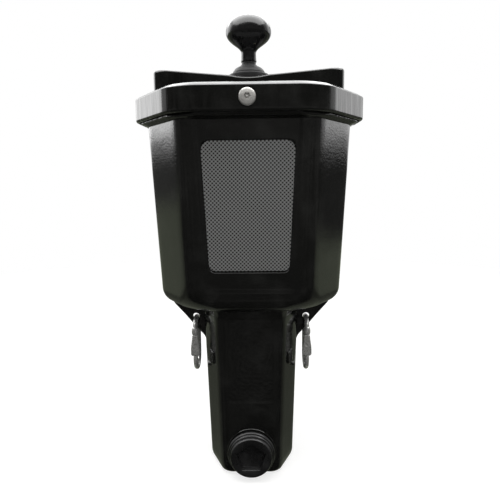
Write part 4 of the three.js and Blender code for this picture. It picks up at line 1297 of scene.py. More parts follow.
    def clamp_boss(self, where: str, drop: float) -> bpy.types.Object:
        """A round boss on the rear for a clamp screw.

        Args:
            where: Its name, upper or lower.
            drop: How far below zero it lies.

        Returns:
            The piece.
        """
        profile = softened([(0.0, 30.0), (16.0, 37.0), (13.2, 40.5), (12.5, 45.0), (5.3, 45.6),
                            (5.3, 36.0), (0.0, 36.0)], [0, 0, 3.0, 1.2, 0.5, 0, 0])
        boss = turned(profile[1:-1], 64).placed(BACKWARDS, (0.0, 0.0, -drop))
        return boss.made(f"tank_clamp_boss_{where}", 40)

    def standoffs(self) -> bpy.types.Object:
        """Round posts on the front and rear walls that carry the brush boards.

        Returns:
            The piece.
        """
        posts = []
        for x in (-50.0, 50.0):
            for z, reach in ((140.0, 84.0), (230.0, 87.0)):
                profile = softened([(0.0, 42.1), (6.0, 42.1), (6.6, reach)], [0, 0.8, 0])
                post = turned(profile[1:], 28)
                posts += [post.placed(columns, (x, 0.0, z)) for columns in (FORWARDS, BACKWARDS)]
        return posts[0].joined(*posts[1:]).made("tank_standoffs", 40)

    def build(self) -> None:
        """Builds and dresses the tank."""
        finishes = self.finishes
        finishes.dress(self.bowl(), Slot.COAT, "tank", "tank_casting", look=finishes.coat_bowl)
        finishes.dress(self.tower(), Slot.COAT, "tank", "tower_casting", look=finishes.coat_tower)
        plain = [make(side) for side in (-1, 1) for make in (self.ear, self.pad)]
        plain.append(self.drain_boss())
        plain += [self.clamp_boss(where, drop) for where, drop in CLAMP_DROPS]
        plain.append(self.standoffs())
        for piece in plain:
            finishes.dress(piece, Slot.COAT, "tank")


@dataclass
class NamePlate:
    """The label plate in its seat on the sloping front."""

    finishes: Wardrobe
    height: float = 128.4
    foot: float = 80.5
    top: float = 92.3
    corners: tuple[float, ...] = (7.0, 7.0, 12.0, 12.0)
    level: float = 103.4
    lean: tuple[float, float] = (7.0, 199.0)
    front: float = 92.0
    rim_top: float = 277.0
    sunk: float = 2.4
    thickness: float = 1.6
    edge: float = 0.45

    def build(self) -> None:
        """Builds the plate and lays it on the slope of the front, which leans 7 mm in 199 mm."""
        foot, top = self.foot / 2, self.top / 2
        corners = [(-foot, 0.0), (foot, 0.0), (top, self.height), (-top, self.height)]
        loop = rounded_loop(corners, *self.corners, steps=14, run_steps=6)
        plate = relief(loop, 0.0, self.thickness, self.edge)
        out_by, rise_by = self.lean
        slope = math.atan2(out_by, rise_by)
        front = -(self.front - out_by * (self.rim_top - self.level) / rise_by)
        x, u = plate.points[:, 0], plate.points[:, 1]
        out = plate.points[:, 2] - self.sunk - self.thickness
        y = front - u * math.sin(slope) - out * math.cos(slope)
        z = self.level + u * math.cos(slope) - out * math.sin(slope)
        placed = Shell(np.stack([x, y, z], axis=-1), plate.quads, plate.tris).facing_out()
        self.finishes.dress(placed.made("label_plate_film", 60), Slot.LABEL, "tank", "label_plate")


@dataclass
class LidCover:
    """The lid: skirted cover, slotted guard and its two screws."""

    finishes: Wardrobe
    skirt_floor: float = 256.6
    under: float = 279.5
    top: float = 284.0
    edge: tuple[float, float] = (5.6, 3.6)
    lip: float = 2.4
    wall: float = 3.5
    guard_half: tuple[float, float] = (102.0, 31.0)
    guard_corner: float = 8.0
    slot_half: tuple[float, float] = (93.0, 7.0)
    lobe: float = 22.5
    pitch: float = 45.0
    hub: float = 13.5
    screw_face: float = 103.3
    screw_level: float = 269.2

    def guard_top(self, plan: np.ndarray) -> np.ndarray:
        """Height of the guard, two straight slopes with a soft valley and the bumper's seat.

        The slopes are 302.6 + 0.0888 sqrt(x^2 + 144) - 1.2 exp(-(|x|/18)^4), held to 302.1
        within 22.9 mm of the rod.

        Args:
            plan: Points of the plan.

        Returns:
            Height of each point.
        """
        x = plan[:, 0]
        slopes = 302.6 + 0.0888 * np.sqrt(x**2 + 144.0) - 1.2 * np.exp(-((np.abs(x) / 18.0) ** 4))
        seat = 1 - smooth_share(22.9, 25.5, np.hypot(x, plan[:, 1]))
        return slopes - np.maximum(slopes - 302.1, 0.0) * seat

    def slot_loop(self) -> tuple[np.ndarray, np.ndarray]:
        """Matching points round the slot and round the guard.

        The slot's half width is the greatest of 7, the hub's and each lobe's
        sqrt(r^2 - (x - c)^2) at every x.

        Returns:
            Inner and outer points, counter-clockwise, of the same number.
        """
        reach, width = self.slot_half
        corner = self.guard_corner
        x = np.linspace(-reach, reach, 373)
        half = np.full_like(x, width)
        circles = [(lane * self.pitch, self.lobe) for lane in (-1.5, -0.5, 0.5, 1.5)]
        for centre, radius in [*circles, (0.0, self.hub)]:
            half = np.maximum(half, np.sqrt(np.maximum(radius**2 - (x - centre) ** 2, 0.0)))
        edge_x = x * ((self.guard_half[0] - corner) / reach)
        upper = np.stack([x, half], axis=-1)
        upper_out = np.stack([edge_x, np.full_like(x, self.guard_half[1])], axis=-1)
        rise = np.linspace(-width, width, 33)[1:-1]
        end = np.stack([np.full_like(rise, reach), rise], axis=-1)
        bend = corner * math.pi / 2
        straight = 2 * (self.guard_half[1] - corner)
        along = (rise + width) / (2 * width) * (2 * bend + straight)
        turn = np.clip(along / corner, 0.0, math.pi / 2)
        turn = turn + np.clip((along - bend - straight) / corner, 0.0, math.pi / 2)
        run = np.clip(along - bend, 0.0, straight)
        end_out = np.stack([self.guard_half[0] - corner + corner * np.sin(turn),
                            -self.guard_half[1] + corner * (1 - np.cos(turn)) + run], axis=-1)
        past = turn > math.pi / 2
        end_out[past, 1] = self.guard_half[1] - corner - corner * np.cos(turn[past])
        inner = np.concatenate([upper * [1, -1], end, upper[::-1], -end])
        outer = np.concatenate([upper_out * [1, -1], end_out, upper_out[::-1], -end_out])
        return inner, outer

    def guard(self) -> bpy.types.Object:
        """The guard as a ring: up the slot's wall, over the top and down the outside.

        Returns:
            The piece.
        """
        inner, outer = self.slot_loop()
        gap = outer - inner
        reach = np.linalg.norm(gap, axis=1, keepdims=True)
        unit = gap / reach
        outward = -inward_of(outer)
        rows = []

        def row(plan: np.ndarray, below: float | np.ndarray | None, level: float = 0.0) -> None:
            """Adds a row at a depth below the top, or at a level of its own."""
            height = self.guard_top(plan) - below if below is not None else np.full(len(plan), level)
            rows.append(np.concatenate([plan, height[:, None]], axis=1))

        row(inner, None, self.under + 0.3)
        soft = np.minimum(2.2, reach * 0.4)
        for a in quarter(5):
            row(inner + unit * soft * (1 - math.cos(a)), 2.2 * (1 - math.sin(a)))
        edge = 2.2 + 2.4 * smooth_share(86.0, 99.0, np.abs(outer[:, :1]))
        for share in np.linspace(0.0, 1.0, 11)[1:-1]:
            row(inner + unit * (soft + (reach - soft - edge) * share), 0.0)
        for a in quarter(8):
            row(outer - outward * edge * (1 - math.sin(a)), edge[:, 0] * (1 - math.cos(a)))
        row(outer, None, self.top + 4.0)
        for a in quarter(6):
            row(outer + outward * 3.0 * (1 - math.cos(a)), None, self.top + 3.0 * (1 - math.sin(a)))
        row(outer + outward * 2.9, None, self.under + 0.3)
        return Shell.from_rows(np.array(rows), ring=True).made("lid_guard", 50)

    def cover(self) -> bpy.types.Object:
        """The skirted cover as a ring, with the guard's outline open in its middle.

        Returns:
            The piece.
        """
        corners = LID_PLAN.corners()
        outline = Outline(corner_steps=14, run_steps=24)
        setbacks = np.array([LID_SETBACKS])[:, CORNER_KINDS]
        rows = []

        def skirt(levels: list[tuple[float, float]]) -> None:
            """Adds a row of the lid's plan for each inset and height.

            Args:
                levels: Inset and height of each row.
            """
            for inset, height in levels:
                plan = outline.at(moved_in(corners, inset)[None], setbacks)
                rows.append(levelled(plan, [height])[0])

        inward, down = self.edge
        skirt([(self.lip * (1 - math.sin(a)), self.skirt_floor + self.lip * (1 - math.cos(a)))
               for a in quarter(6)])
        skirt([(0.0, z) for z in np.linspace(self.skirt_floor + 4.0, self.top - down - 1.6, 7)])
        skirt(softened([(0.0, self.top - down - 1.6), (0.0, self.top - down), (inward, self.top),
                        (inward + 3.0, self.top)], [0, 0.8, 1.2, 0], 6)[1:])
        direction = np.arctan2(rows[-1][:, 1] / self.guard_half[1], rows[-1][:, 0] / self.guard_half[0])
        reach = 1.0 / np.maximum(np.abs(np.cos(direction)), np.abs(np.sin(direction)))
        hole = np.stack([np.cos(direction) * reach * (self.guard_half[0] - 0.5),
                         np.sin(direction) * reach * (self.guard_half[1] - 0.5)], axis=-1)
        rows += [levelled(hole[None], [height])[0] for height in (self.top, self.under)]
        skirt([(self.wall + 1.5, self.under), (self.wall, self.under - 1.5),
               (self.wall, self.skirt_floor + 1.0), (self.lip + 0.5, self.skirt_floor)])
        return Shell.from_rows(np.array(rows), ring=True).made("lid_cover", 50)

    def screw(self, face: int) -> bpy.types.Object:
        """A button-head screw with a hex socket and its centre pin.

        Args:
            face: -1 for the front, 1 for the rear.

        Returns:
            The piece.
        """
        angle = full_turn(72)
        hexagon = 2.7 / np.cos(np.mod(angle, TAU / 6) - TAU / 12)
        profile = softened([(0.0, -3.0), (4.7, -3.0), (4.7, 0.0), (8.1, 0.0), (8.1, 2.3),
                            (7.3, 3.5), (4.4, 4.1), (3.9, 4.15)], [0, 0, 0, 0.3, 0.8, 0.8, 1.0, 0])[1:]
        socket = [(hexagon * 1.08, 4.15), (hexagon, 3.9), (hexagon, 2.0)]
        pin = [(1.05, 2.0), (1.0, 3.7), (0.7, 4.0)]
        shell = Shell.from_rows(np.array([ring_at(r, angle, h) for r, h in [*profile, *socket, *pin]]))
        columns = FORWARDS if face < 0 else BACKWARDS
        placed = shell.placed(columns, (0.0, face * self.screw_face, self.screw_level))
        return placed.made(faced("lid_button_screw", face), 40)

    def build(self) -> None:
        """Builds and dresses the lid."""
        finishes = self.finishes
        finishes.dress(self.cover(), Slot.COAT, "tank", "lid_casting", look=finishes.coat_lid)
        finishes.dress(self.guard(), Slot.COAT, "tank", look=finishes.coat_lid)
        for face in (-1, 1):
            finishes.dress(self.screw(face), Slot.STAINLESS, "tank", faced("lid_screw", face))


@dataclass
class Agitator:
    """Knob, bumper, rod and ball paddle."""

    finishes: Wardrobe
    knob_floor: float = 324.0
    knob_neck: float = 8.1
    knob_radius: float = 25.0
    knob_wide: float = 354.6
    knob_dome: float = 18.6
    rod: float = 6.35
    paddle_floor: float = 121.2
    foot_top: float = 131.2
    ball_level: float = 185.0
    pocket: float = 21.7

    def knob(self) -> bpy.types.Object:
        """The knob: neck, a swept shoulder and a domed top.

        The shoulder is a cubic curve from the neck to the widest point, the dome the full quarter
        curve r = R (cos a)^0.86, h = wide + dome sin a.

        Returns:
            The piece.
        """
        t = np.linspace(0.0, 1.0, 26)[:, None]
        start = np.array([self.knob_neck, self.knob_floor + 9.0])
        end = np.array([self.knob_radius, self.knob_wide])
        one = start + np.array([0.3, 8.0])
        two = end - np.array([0.0, 10.5])
        shoulder = (1 - t) ** 3 * start + 3 * t * (1 - t) ** 2 * one + 3 * t**2 * (1 - t) * two + t**3 * end
        a = quarter(26)[1:]
        dome = np.stack([self.knob_radius * np.maximum(np.cos(a), 0.0) ** 0.86,
                         self.knob_wide + self.knob_dome * np.sin(a)], axis=-1)
        dome[-1, 0] = 0.4
        foot = softened([(6.0, self.knob_floor), (8.7, self.knob_floor), (8.3, self.knob_floor + 3.0),
                         tuple(start)], [0, 0.5, 1.0, 0])
        return turned(np.concatenate([foot[:-1], shoulder, dome]), 128).made("grip_knob", 50)

    def bumper(self) -> tuple[bpy.types.Object, bpy.types.Object]:
        """The rubber disc on the lid's seat, and the stepped dome over it.

        Returns:
            The disc and the dome.
        """
        disc = softened([(5.1, 302.35), (22.4, 302.35), (22.4, 310.4), (5.1, 310.4)], [0, 1.6, 1.8, 0], 8)
        dome = softened([(5.1, 310.7), (18.2, 310.7), (18.0, 312.8), (15.0, 317.0), (10.4, 318.9),
                         (9.5, 319.2), (9.3, 320.2), (7.9, 320.6), (7.9, 323.8), (5.1, 323.8)],
                        [0, 0.9, 1.6, 3.0, 0.6, 0.4, 0.5, 0.3, 0.6, 0], 7)
        return turned(disc).made("bumper_pad", 50), turned(dome).made("bumper_cap", 40)

    def rod_bar(self) -> bpy.types.Object:
        """The rod from the paddle's hub to the bumper, stepped down to its stud.

        Returns:
            The piece.
        """
        profile = softened([(0.0, 209.8), (self.rod, 209.8), (self.rod, 302.0), (4.75, 302.0),
                            (4.75, 343.9), (0.0, 343.9)], [0, 0.6, 0.5, 0, 0.6, 0])[1:-1]
        return turned(profile, 48).made("slide_rod", 40)

    def paddle(self) -> bpy.types.Object:
        """The paddle's plate with its four ball pockets.

        Returns:
            The piece.
        """
        loop = rounded_loop([(-84.0, self.paddle_floor), (84.0, self.paddle_floor), (91.5, 163.3),
                             (91.5, 212.7), (-91.5, 212.7), (-91.5, 163.3)], 5.0, run_steps=4)
        ring = ring_at(self.pocket, full_turn(72), 0.0)[:, :2]
        pockets = [ring + [x, self.ball_level] for x in (-67.5, -22.5, 22.5, 67.5)]
        return flat_part("ball_paddle", [loop, *pockets], 12.0, 0.75, BACKWARDS, (0.0, 0.0, 0.0))

    def hub(self) -> bpy.types.Object:
        """The hub that holds the rod, and the bar along the paddle's foot with rounded edges.

        Returns:
            The piece.
        """
        profile = softened([(6.65, 206.0), (14.5, 206.0), (14.5, 212.4), (12.0, 215.5), (12.0, 236.7),
                            (6.65, 236.7)], [0, 0, 0, 3.0, 1.2, 0])
        bar = rounded_loop([(-84.0, -13.0), (84.0, -13.0), (84.0, 13.0), (-84.0, 13.0)], 4.0)
        gone, side = 1.2 * (1 - np.sin(quarter(5))), 1.2 * (1 - np.cos(quarter(5)))
        foot = stacked(bar, np.concatenate([gone, side]),
                       np.concatenate([self.paddle_floor + side, self.foot_top - gone]))
        return turned(profile, 64).joined(foot).made("paddle_hub_and_foot", 45)

    def build(self) -> None:
        """Builds and dresses what slides."""
        dress = self.finishes.dress
        dress(self.knob(), Slot.KNOB, "agitator", "knob")
        disc, dome = self.bumper()
        dress(disc, Slot.BUMPER, "agitator", "bumper_disc")
        dress(dome, Slot.BUMPER, "agitator", "bumper_dome")
        dress(self.rod_bar(), Slot.STAINLESS, "agitator", "paddle_rod")
        dress(self.paddle(), Slot.PADDLE, "agitator", "paddle")
        dress(self.hub(), Slot.PADDLE, "agitator")


@dataclass
class DrainFitting:
    """The drain plug with its pentagon socket, and its seal."""

    finishes: Wardrobe
    level: float = -102.0
    seat: float = 67.55
    socket: float = 16.4
    socket_most: float = 15.9

    def plug(self) -> bpy.types.Object:
        """The plug: flange, step, cup and a five-sided socket with a rounded mouth.

        The socket's wall lies at R cos(pi/5) / cos(b), with b the angle from the nearest side's
        middle, and its corners are cut off at 15.9 mm.

        Returns:
            The piece.
        """
        angle = full_turn(160)
        sector = np.mod(angle - math.pi / 2, TAU / 5) - TAU / 10
        five = np.minimum(self.socket * math.cos(math.pi / 5) / np.cos(sector), self.socket_most)
        s = self.seat
        profile = softened([(0.0, 52.2), (13.9, 52.2), (13.9, s), (25.8, s), (25.8, s + 1.9),
                            (24.9, s + 3.4), (24.0, s + 3.5), (24.0, s + 4.4), (23.2, s + 5.7),
                            (22.6, s + 5.8), (22.6, s + 9.0), (21.6, s + 10.6), (19.4, s + 10.6)],
                           [0, 1, 0, 0.6, 0.5, 0.3, 0, 0.3, 0.3, 0, 0.5, 0.5, 0], 5)[1:]
        mouth = ((0.9, 10.55), (0.5, 10.4), (0.15, 10.05), (0.0, 9.5), (0.0, 3.4), (-0.5, 3.1))
        rows = [ring_at(r, angle, h) for r, h in profile]
        rows += [ring_at(five + grow, angle, s + h) for grow, h in mouth]
        shell = Shell.from_rows(np.array(rows)).placed(FORWARDS, (0.0, 0.0, self.level))
        return shell.made("drain_cup_plug", 40)

    def seal(self) -> bpy.types.Object:
        """The flat ring under the flange.

        Returns:
            The piece.
        """
        profile = softened([(14.5, 66.3), (24.6, 65.25), (24.6, 67.25), (14.5, 67.25), (14.5, 65.25),
                            (20.0, 65.25)], [0, 0.6, 0.6, 0.3, 0.3, 0])[1:]
        ring = turned(profile, ring=True).placed(FORWARDS, (0.0, 0.0, self.level))
        return ring.made("drain_ring_seal", 50)

    def build(self) -> None:
        """Builds and dresses the fitting."""
        self.finishes.dress(self.plug(), Slot.PLUG, "plug", "drain_plug")
        self.finishes.dress(self.seal(), Slot.SEAL, "drain_ring", "drain_seal")


@dataclass
class SnapHook:
    """A wire snap hook with its pressed gate, hung in the eye of an ear."""

    finishes: Wardrobe
    side: int
    eye: float = 63.95
    forward: float = -10.0
    top: float = 36.38
    bend: float = 15.25
    lower: float = -45.15
    wire: float = 2.75
    nose: float = 1.5
    pivot: float = -40.15
    gate_top: float = -17.05
    gate_half: float = 5.4
    gate_taper: float = 1.9

    def name(self, what: str) -> str:
        """Name of a piece, node or body on this side."""
        return sided(what, self.side)

    def hung(self, line: np.ndarray) -> np.ndarray:
        """Sets a line given in the hook's own plane, from the middle of its top, in place."""
        across = np.full((len(line), 1), self.side * self.eye)
        return np.concatenate([across, line + [self.forward, self.top]], axis=1)

    def upper_bend(self, angle: np.ndarray) -> np.ndarray:
        """Points of the upper bend at angles from the nose."""
        return np.stack([-self.bend * np.cos(angle), -self.bend + self.bend * np.sin(angle)], axis=-1)

    def loop(self) -> bpy.types.Object:
        """The wire: nose, upper bend, straight back and lower bend up to the gate's foot.

        Returns:
            The piece.
        """
        up = np.linspace(0.0, 1.0, 4)[:-1, None]
        nose = np.concatenate([np.full((3, 1), -self.bend), -self.bend - self.nose * (1 - up)], axis=1)
        a = np.linspace(0.0, math.pi, 34)
        down = np.linspace(-self.bend, self.lower, 12)[1:-1]
        back = np.stack([np.full_like(down, self.bend), down], axis=-1)
        under = np.stack([self.bend * np.cos(a), self.lower - self.bend * np.sin(a)], axis=-1)
        line = np.concatenate([nose, self.upper_bend(a), back, under, [[-self.bend, self.lower + 4.0]]])
        radius = np.full(len(line), self.wire)
        radius[:3] = self.wire * np.array([0.72, 0.93, 1.0])
        radius[-1] = self.wire * 0.8
        return tube(self.hung(line), radius, 20).made(self.name("snap_wire"), 60)

    def collar(self) -> bpy.types.Object:
        """The sleeve over the nose that the gate closes on, bent with the wire.

        Returns:
            The piece.
        """
        line = self.upper_bend(np.linspace(0.0, 0.4, 9))
        line = np.concatenate([[[-self.bend, -self.bend - 1.6]], line])
        radius = np.array([3.5, 3.9, 4.0, 4.0, 4.0, 3.95, 3.9, 3.8, 3.6, 3.2])
        return tube(self.hung(line), radius, 28).made(self.name("snap_collar"), 60)

    def gate(self) -> bpy.types.Object:
        """The gate: a pressed channel that widens to its foot, with a dimple on its face.

        Each ring is a rounded rectangle |x/a|^4 + |y/b|^4 = 1, its half width a growing down.

        Returns:
            The piece.
        """
        low, high = self.pivot - 1.9, self.gate_top
        z = stations((low, low + 2.5, 6), (low + 2.5, high - 2.0, 46), (high - 2.0, high, 6))
        c, s = np.cos(full_turn(64)), np.sin(full_turn(64))
        unit_x = np.sign(c) * np.abs(c) ** 0.5
        unit_y = np.sign(s) * np.abs(s) ** 0.5
        share = (z - low) / (high - low)
        ends = np.minimum(1.0, np.minimum((z - low) / 2.5, (high - z) / 2.0))
        closing = 0.72 + 0.28 * np.sqrt(np.clip(1 - (1 - ends) ** 2, 0, 1))
        half = (self.gate_half - self.gate_taper * smooth_share(0.25, 1.0, share)) * closing
        deep = (2.75 + 0.25 * (1 - share)) * closing
        x, y = half[:, None] * unit_x, deep[:, None] * unit_y
        dimple, radius, sunk = self.pivot + 11.0, 0.95, 1.3
        away = np.hypot(x, z[:, None] - dimple)
        y = y + sunk * (1 - smooth_share(radius * 0.7, radius * 1.25, away)) * (unit_y < -0.5)
        rows = np.stack([x + self.side * self.eye, y + self.forward - self.bend,
                         np.broadcast_to(z[:, None], x.shape) + self.top], axis=-1)
        return Shell.from_rows(rows).made(self.name("snap_gate"), 60)

    def rivet(self) -> bpy.types.Object:
        """The rivet through the gate's foot, domed on both sides.

        Returns:
            The piece.
        """
        profile = softened([(0.0, -4.9), (1.7, -4.7), (1.9, -4.2), (1.0, -4.2), (1.0, 4.2),
                            (1.9, 4.2), (1.7, 4.7), (0.0, 4.9)], [0, 0.5, 0.2, 0, 0, 0.2, 0.5, 0])
        profile[0, 0], profile[-1, 0] = 0.2, 0.2
        place = (self.side * self.eye, self.forward - self.bend, self.top + self.pivot)
        return turned(profile, 28).placed(("z", "x", "y"), place).made(self.name("snap_rivet"), 40)

    def build(self) -> None:
        """Builds and dresses one hook."""
        dress, snap = self.finishes.dress, self.name("snap")
        dress(self.loop(), Slot.HOOK, snap, self.name("hook"))
        dress(self.collar(), Slot.HOOK, snap)
        dress(self.gate(), Slot.HOOK, self.name("gate"), self.name("hook_gate"))
        dress(self.rivet(), Slot.HOOK, snap, self.name("gate_pin"))


@dataclass
class BrushPack:
    """Rows of bristle tufts on the two boards inside the tank."""

    finishes: Wardrobe
    root: float = 35.8
    length: float = 22.0
    columns: int = 22
    rows: int = 10
    pitch: tuple[float, float] = (7.2, 7.6)
    level: float = 185.0

    def tufts(self, face: int) -> bpy.types.Object:
        """Tufts set in staggered rows, each a ring that opens from its root to its tips.

        A tuft's ring at share t has radius 1.7 + 1.1 t, with every other point drawn in.

        Args:
            face: -1 for the front, 1 for the rear.

        Returns:
            The piece.
        """
        x = (np.arange(self.columns) - (self.columns - 1) / 2) * self.pitch[0]
        z = self.level + (np.arange(self.rows) - (self.rows - 1) / 2) * self.pitch[1]
        grid_x, grid_z = np.meshgrid(x, z)
        grid_x = grid_x + np.where(np.arange(self.rows) % 2, 1.8, -1.8)[:, None]
        angle = full_turn(10)
        share = np.array([0.0, 0.5, 1.0])
        radius = (1.7 + 1.1 * share)[:, None] * np.where(np.arange(10) % 2, 0.78, 1.0)
        ring = np.stack([radius * np.cos(angle), np.zeros_like(radius), radius * np.sin(angle)], axis=-1)
        ring[..., 1] = (self.root - self.length * share)[:, None]
        one = Shell.from_rows(ring)
        count = grid_x.size
        offset = np.stack([grid_x.ravel(), np.zeros(count), grid_z.ravel()], axis=-1)
        steps = (np.arange(count) * len(one.points))[:, None, None]
        shell = Shell((one.points[None] + offset[:, None]).reshape(-1, 3),
                      (one.quads[None] + steps).reshape(-1, 4), (one.tris[None] + steps).reshape(-1, 3))
        if face < 0:
            shell = shell.placed(("x", "-y", "z"), (0.0, 0.0, 0.0))
        return shell.made(faced("brush_tufts", face), 50)

    def build(self) -> None:
        """Builds and dresses both packs."""
        for face in (-1, 1):
            self.finishes.dress(self.tufts(face), Slot.BRISTLE, "tank", faced("bristles", face))


@dataclass
class ClampHardware:
    """Hex clamp screws and jam nuts on the rear of the tower."""

    finishes: Wardrobe
    face: float = 45.6
    radius: float = 9.8
    stand: float = 12.0

    def hexagon(self, low: float, high: float, bore: float) -> Shell:
        """A hexagon with turned-off corners: radius min(hex(a), R - n(R - inner + 0.25)).

        Here n is how near the height is to an end, from 0 to 1 in the last millimetre.

        Args:
            low: Height of its lower face.
            high: Height of its upper face.
            bore: Radius of its hole, or 0.

        Returns:
            The closed solid along +Z.
        """
        angle = full_turn(72)
        inner = self.radius * math.cos(math.pi / 6)
        six = inner / np.cos(np.mod(angle, TAU / 6) - TAU / 12)
        rows = []
        for h in np.concatenate([np.linspace(low, low + 1.0, 5), np.linspace(high - 1.0, high, 5)]):
            near = max(0.0, low + 1.0 - h, h - high + 1.0)
            cone = self.radius - near * (self.radius - inner + 0.25)
            rows.append(ring_at(np.minimum(six, cone), angle, h))
        if bore:
            rows += [ring_at(bore, angle, h) for h in (high, low)]
        return Shell.from_rows(np.array(rows), ring=bool(bore))

    def build(self) -> None:
        """Builds and dresses both screws and nuts."""
        face = self.face + self.stand
        profile = softened([(0.0, 31.2), (3.6, 31.2), (4.85, 32.6), (4.85, face + 1.0),
                            (0.0, face + 1.0)], [0, 0, 0, 0, 0])[1:-1]
        screw = turned(profile, 40).joined(self.hexagon(face, face + 6.4, 0.0))
        nut = self.hexagon(self.face + 0.3, self.face + 5.3, 5.15)
        for where, drop in CLAMP_DROPS:
            for shell, name, node in ((screw, "clamp_hex_screw", "clamp_screw"),
                                      (nut, "clamp_jam_nut", "jam_nut")):
                placed = shell.placed(BACKWARDS, (0.0, 0.0, -drop)).made(f"{name}_{where}", 30)
                self.finishes.dress(placed, Slot.STAINLESS, "tank", f"{node}_{where}")


@dataclass
class Studio:
    """Camera, floor, soft lamps and the world."""

    lens: float = 34.56
    eye: tuple[float, float, float] = (0.0098, -0.557, 0.190)
    turn: tuple[float, float, float] = (82.17, 0.55, 1.0)
    aim: tuple[float, float, float] = (0.0, 0.0, 0.2)
    floor_level: float = -0.1302
    floor_radius: float = 1500.0
    floor_glow: float = 0.72
    sky: tuple[float, float, float] = (0.95, 0.95, 0.95)
    band_left: tuple[float, float, float] = (0.12, 0.12, 0.116)
    band_right: tuple[float, float, float] = (0.06, 0.06, 0.058)
    ground: tuple[float, float, float] = (0.26, 0.285, 0.215)
    low_ground: tuple[float, float, float] = (0.11, 0.118, 0.092)
    deep_ground: tuple[float, float, float] = (0.2, 0.215, 0.165)
    ahead_bands: tuple[tuple[float, float], ...] = ((-1.0, 0.02), (-0.6, 0.03), (-0.45, 0.075),
                                                    (-0.22, 0.06), (-0.12, 0.11), (0.09, 0.13),
                                                    (0.15, 0.07), (0.55, 0.06), (0.74, 0.5), (1.0, 0.75))

    def camera(self) -> None:
        """Sets the camera ahead of the washer, pitched down and turned by a hair."""
        data = bpy.data.cameras.new("view")
        data.lens = self.lens
        data.sensor_width = 36.0
        data.clip_start = 0.01
        data.clip_end = 50.0
        made = bpy.data.objects.new("view", data)
        made.location = self.eye
        made.rotation_euler = tuple(math.radians(angle) for angle in self.turn)
        bpy.context.scene.collection.objects.link(made)
        bpy.context.scene.camera = made

    def lamp(self, name: str, place: tuple, size: tuple[float, float], power: float,
             glossy: bool) -> None:
        """Adds a soft rectangular lamp that points at the middle of the washer.

        Args:
            name: Name of the lamp.
            place: Where it stands, in metres.
            size: Its width and height.
            power: Its power in watts.
            glossy: True for a card seen only in reflections, False for light that is never seen.
        """
        data = bpy.data.lights.new(name, "AREA")
        data.shape = "RECTANGLE"
        data.size, data.size_y = size
        data.energy = power
        made = bpy.data.objects.new(name, data)
        made.location = place
        direction = Vector(self.aim) - Vector(place)
        made.rotation_euler = direction.to_track_quat("-Z", "Y").to_euler()
        made.visible_camera = False
        made.visible_diffuse = not glossy
        made.visible_glossy = glossy
        bpy.context.scene.collection.objects.link(made)

    def world(self) -> None:
        """White for the camera; for reflections a sky and a ground behind, and a room ahead.

        With the direction (x, y, z), the sky behind starts from z = 0.018 to 0.038 and the ground
        lies below z + 0.049 x = -0.125 to -0.1, with a dark band between them. The ground darkens
        from z = -0.24 to -0.36 and is paler again below -0.62. The room takes over where y falls
        from 0.12 to -0.1.
        """
        world = bpy.data.worlds.new("studio")
        bpy.context.scene.world = world
        world.use_nodes = True
        world.node_tree.nodes.clear()
        nodes = Nodes(world.node_tree)
        place = nodes.place("Generated")
        x, y, z = nodes.node("ShaderNodeSeparateXYZ", place).outputs

        def blend(value: bpy.types.NodeSocket, low: float, high: float, under: object,
                  over: object) -> bpy.types.NodeSocket:
            """A colour that turns from one into another while a value runs from low to high.

            Args:
                value: The value.
                low: Where it gives the first colour.
                high: Where it gives the second.
                under: The first colour.
                over: The second colour.

            Returns:
                The blended colour.
            """
            made = nodes.node("ShaderNodeMix", data_type="RGBA")
            nodes.feed(made.inputs["Factor"], nodes.mapped(value, low, high, smooth=True))
            for label, colour in (("A", under), ("B", over)):
                joined = isinstance(colour, bpy.types.NodeSocket)
                nodes.feed(made.inputs[label], colour if joined else (*colour, 1.0))
            return made.outputs["Result"]

        band = blend(x, -0.3, 0.3, self.band_left, self.band_right)
        low_ground = blend(z, -0.62, -0.48, self.deep_ground, self.low_ground)
        ground = blend(z, -0.36, -0.24, low_ground, self.ground)
        behind = blend(nodes.maths("MULTIPLY_ADD", x, 0.049, z), -0.125, -0.1, ground, band)
        behind = blend(z, 0.018, 0.038, behind, self.sky)
        seen = nodes.node("ShaderNodeBackground", blend(y, -0.1, 0.12, self.ahead(nodes, place, z), behind))
        white = nodes.node("ShaderNodeBackground", (1.0, 1.0, 1.0, 1.0))
        rays = nodes.node("ShaderNodeLightPath").outputs
        direct = nodes.maths("MAXIMUM", rays["Is Camera Ray"], rays["Is Transmission Ray"])
        mix = nodes.node("ShaderNodeMixShader", direct, seen.outputs[0], white.outputs[0])
        nodes.node("ShaderNodeOutputWorld", mix.outputs[0])

    def ahead(self, nodes: Nodes, direction: bpy.types.NodeSocket,
              z: bpy.types.NodeSocket) -> bpy.types.NodeSocket:
        """The room ahead: bands of grey by height, broken by upright streaks of soft noise.

        Args:
            nodes: The world's nodes.
            direction: Direction of the ray.
            z: Its height.

        Returns:
            The colour.
        """
        stops = [((level + 1.0) / 2.0, (grey, grey * 0.99, grey * 0.95))
                 for level, grey in self.ahead_bands]
        bands = nodes.coloured(nodes.mapped(z, -1.0, 1.0), *stops)
        stretch = nodes.node("ShaderNodeVectorMath", direction, (11.0, 4.0, 5.0), operation="MULTIPLY")
        streaks = nodes.noise(stretch.outputs[0], 1.0, 1.0)
        made = nodes.node("ShaderNodeVectorMath", bands, operation="SCALE")
        nodes.feed(made.inputs["Scale"], nodes.mapped(streaks, 0.3, 0.7, (0.35, 1.75)))
        return made.outputs[0]

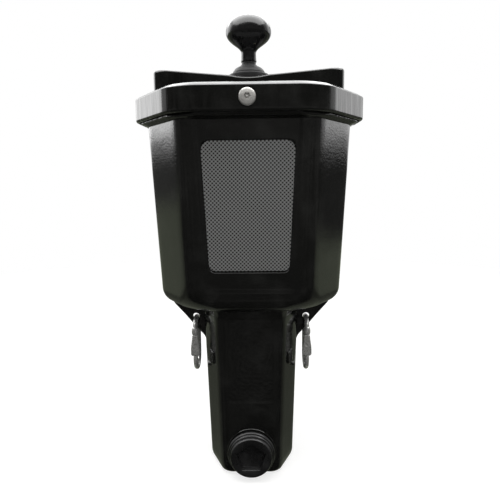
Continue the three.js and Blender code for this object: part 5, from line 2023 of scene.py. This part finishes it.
    def floor(self) -> None:
        """A pale floor that keeps the shadow: a lit surface that also glows for the camera."""
        disc = Shell.from_rows(np.array([ring_at(self.floor_radius, full_turn(64), h) for h in (-0.5, 0.0)]))
        made = disc.placed(("x", "y", "z"), (0.0, 0.0, self.floor_level / MM)).made("pale_floor")
        paint = Paint("pale_floor")
        paint.surface(Base_Color=(0.42, 0.42, 0.415, 1.0), Roughness=0.9, Specular_IOR_Level=0.0)
        camera_ray = paint.node("ShaderNodeLightPath").outputs["Is Camera Ray"]
        glow = paint.node("ShaderNodeEmission", (1.0, 1.0, 1.0, 1.0),
                          paint.maths("MULTIPLY", camera_ray, self.floor_glow))
        both = paint.node("ShaderNodeAddShader", paint.shader.outputs[0], glow.outputs[0])
        paint.feed(paint.tree.nodes["Material Output"].inputs["Surface"], both.outputs[0])
        made.data.materials.append(paint.material)
        made.visible_glossy = False

    def build(self) -> None:
        """Builds the studio."""
        self.camera()
        self.world()
        self.floor()
        self.lamp("light_above", (-0.2, -0.3, 1.5), (1.2, 0.9), 12.0, False)
        self.lamp("light_ahead", (0.3, -1.3, 0.6), (0.9, 0.9), 7.0, False)
        self.lamp("card_left", (-1.22, 0.8, 0.8), (1.1, 1.0), 9.0, True)
        self.lamp("card_right", (1.22, 0.8, 0.8), (0.6, 1.0), 2.2, True)
        self.lamp("card_behind", (0.0, 1.05, 1.55), (2.4, 1.2), 34.0, True)
        self.lamp("card_above", (0.0, -0.22, 1.55), (3.4, 1.5), 86.0, True)
        bpy.context.scene.view_settings.view_transform = "Standard"


class Washer:
    """The whole washer in its studio."""

    def __init__(self) -> None:
        """Makes the finishes that every sub-assembly takes from."""
        self.finishes = Wardrobe()

    def dress_nodes(self) -> None:
        """Gives every CAD node that stays its procedural material."""
        for part in frame["record"]["subparts"]:
            node = frame["nodes"][part["node"]]
            node.data.materials.clear()
            node.data.materials.append(self.finishes.materials[Slot(part["material_slot"])])

    def build(self) -> None:
        """Builds each sub-assembly in order."""
        self.dress_nodes()
        for kind in (TankBody, NamePlate, LidCover, Agitator, DrainFitting):
            kind(self.finishes).build()
        for side in (-1, 1):
            SnapHook(self.finishes, side).build()
        BrushPack(self.finishes).build()
        ClampHardware(self.finishes).build()
        Studio().build()


def main() -> None:
    """Dresses the frame."""
    logging.basicConfig(level=logging.INFO, format="%(message)s")
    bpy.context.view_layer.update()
    Washer().build()


if __name__ == "__main__":
    main()
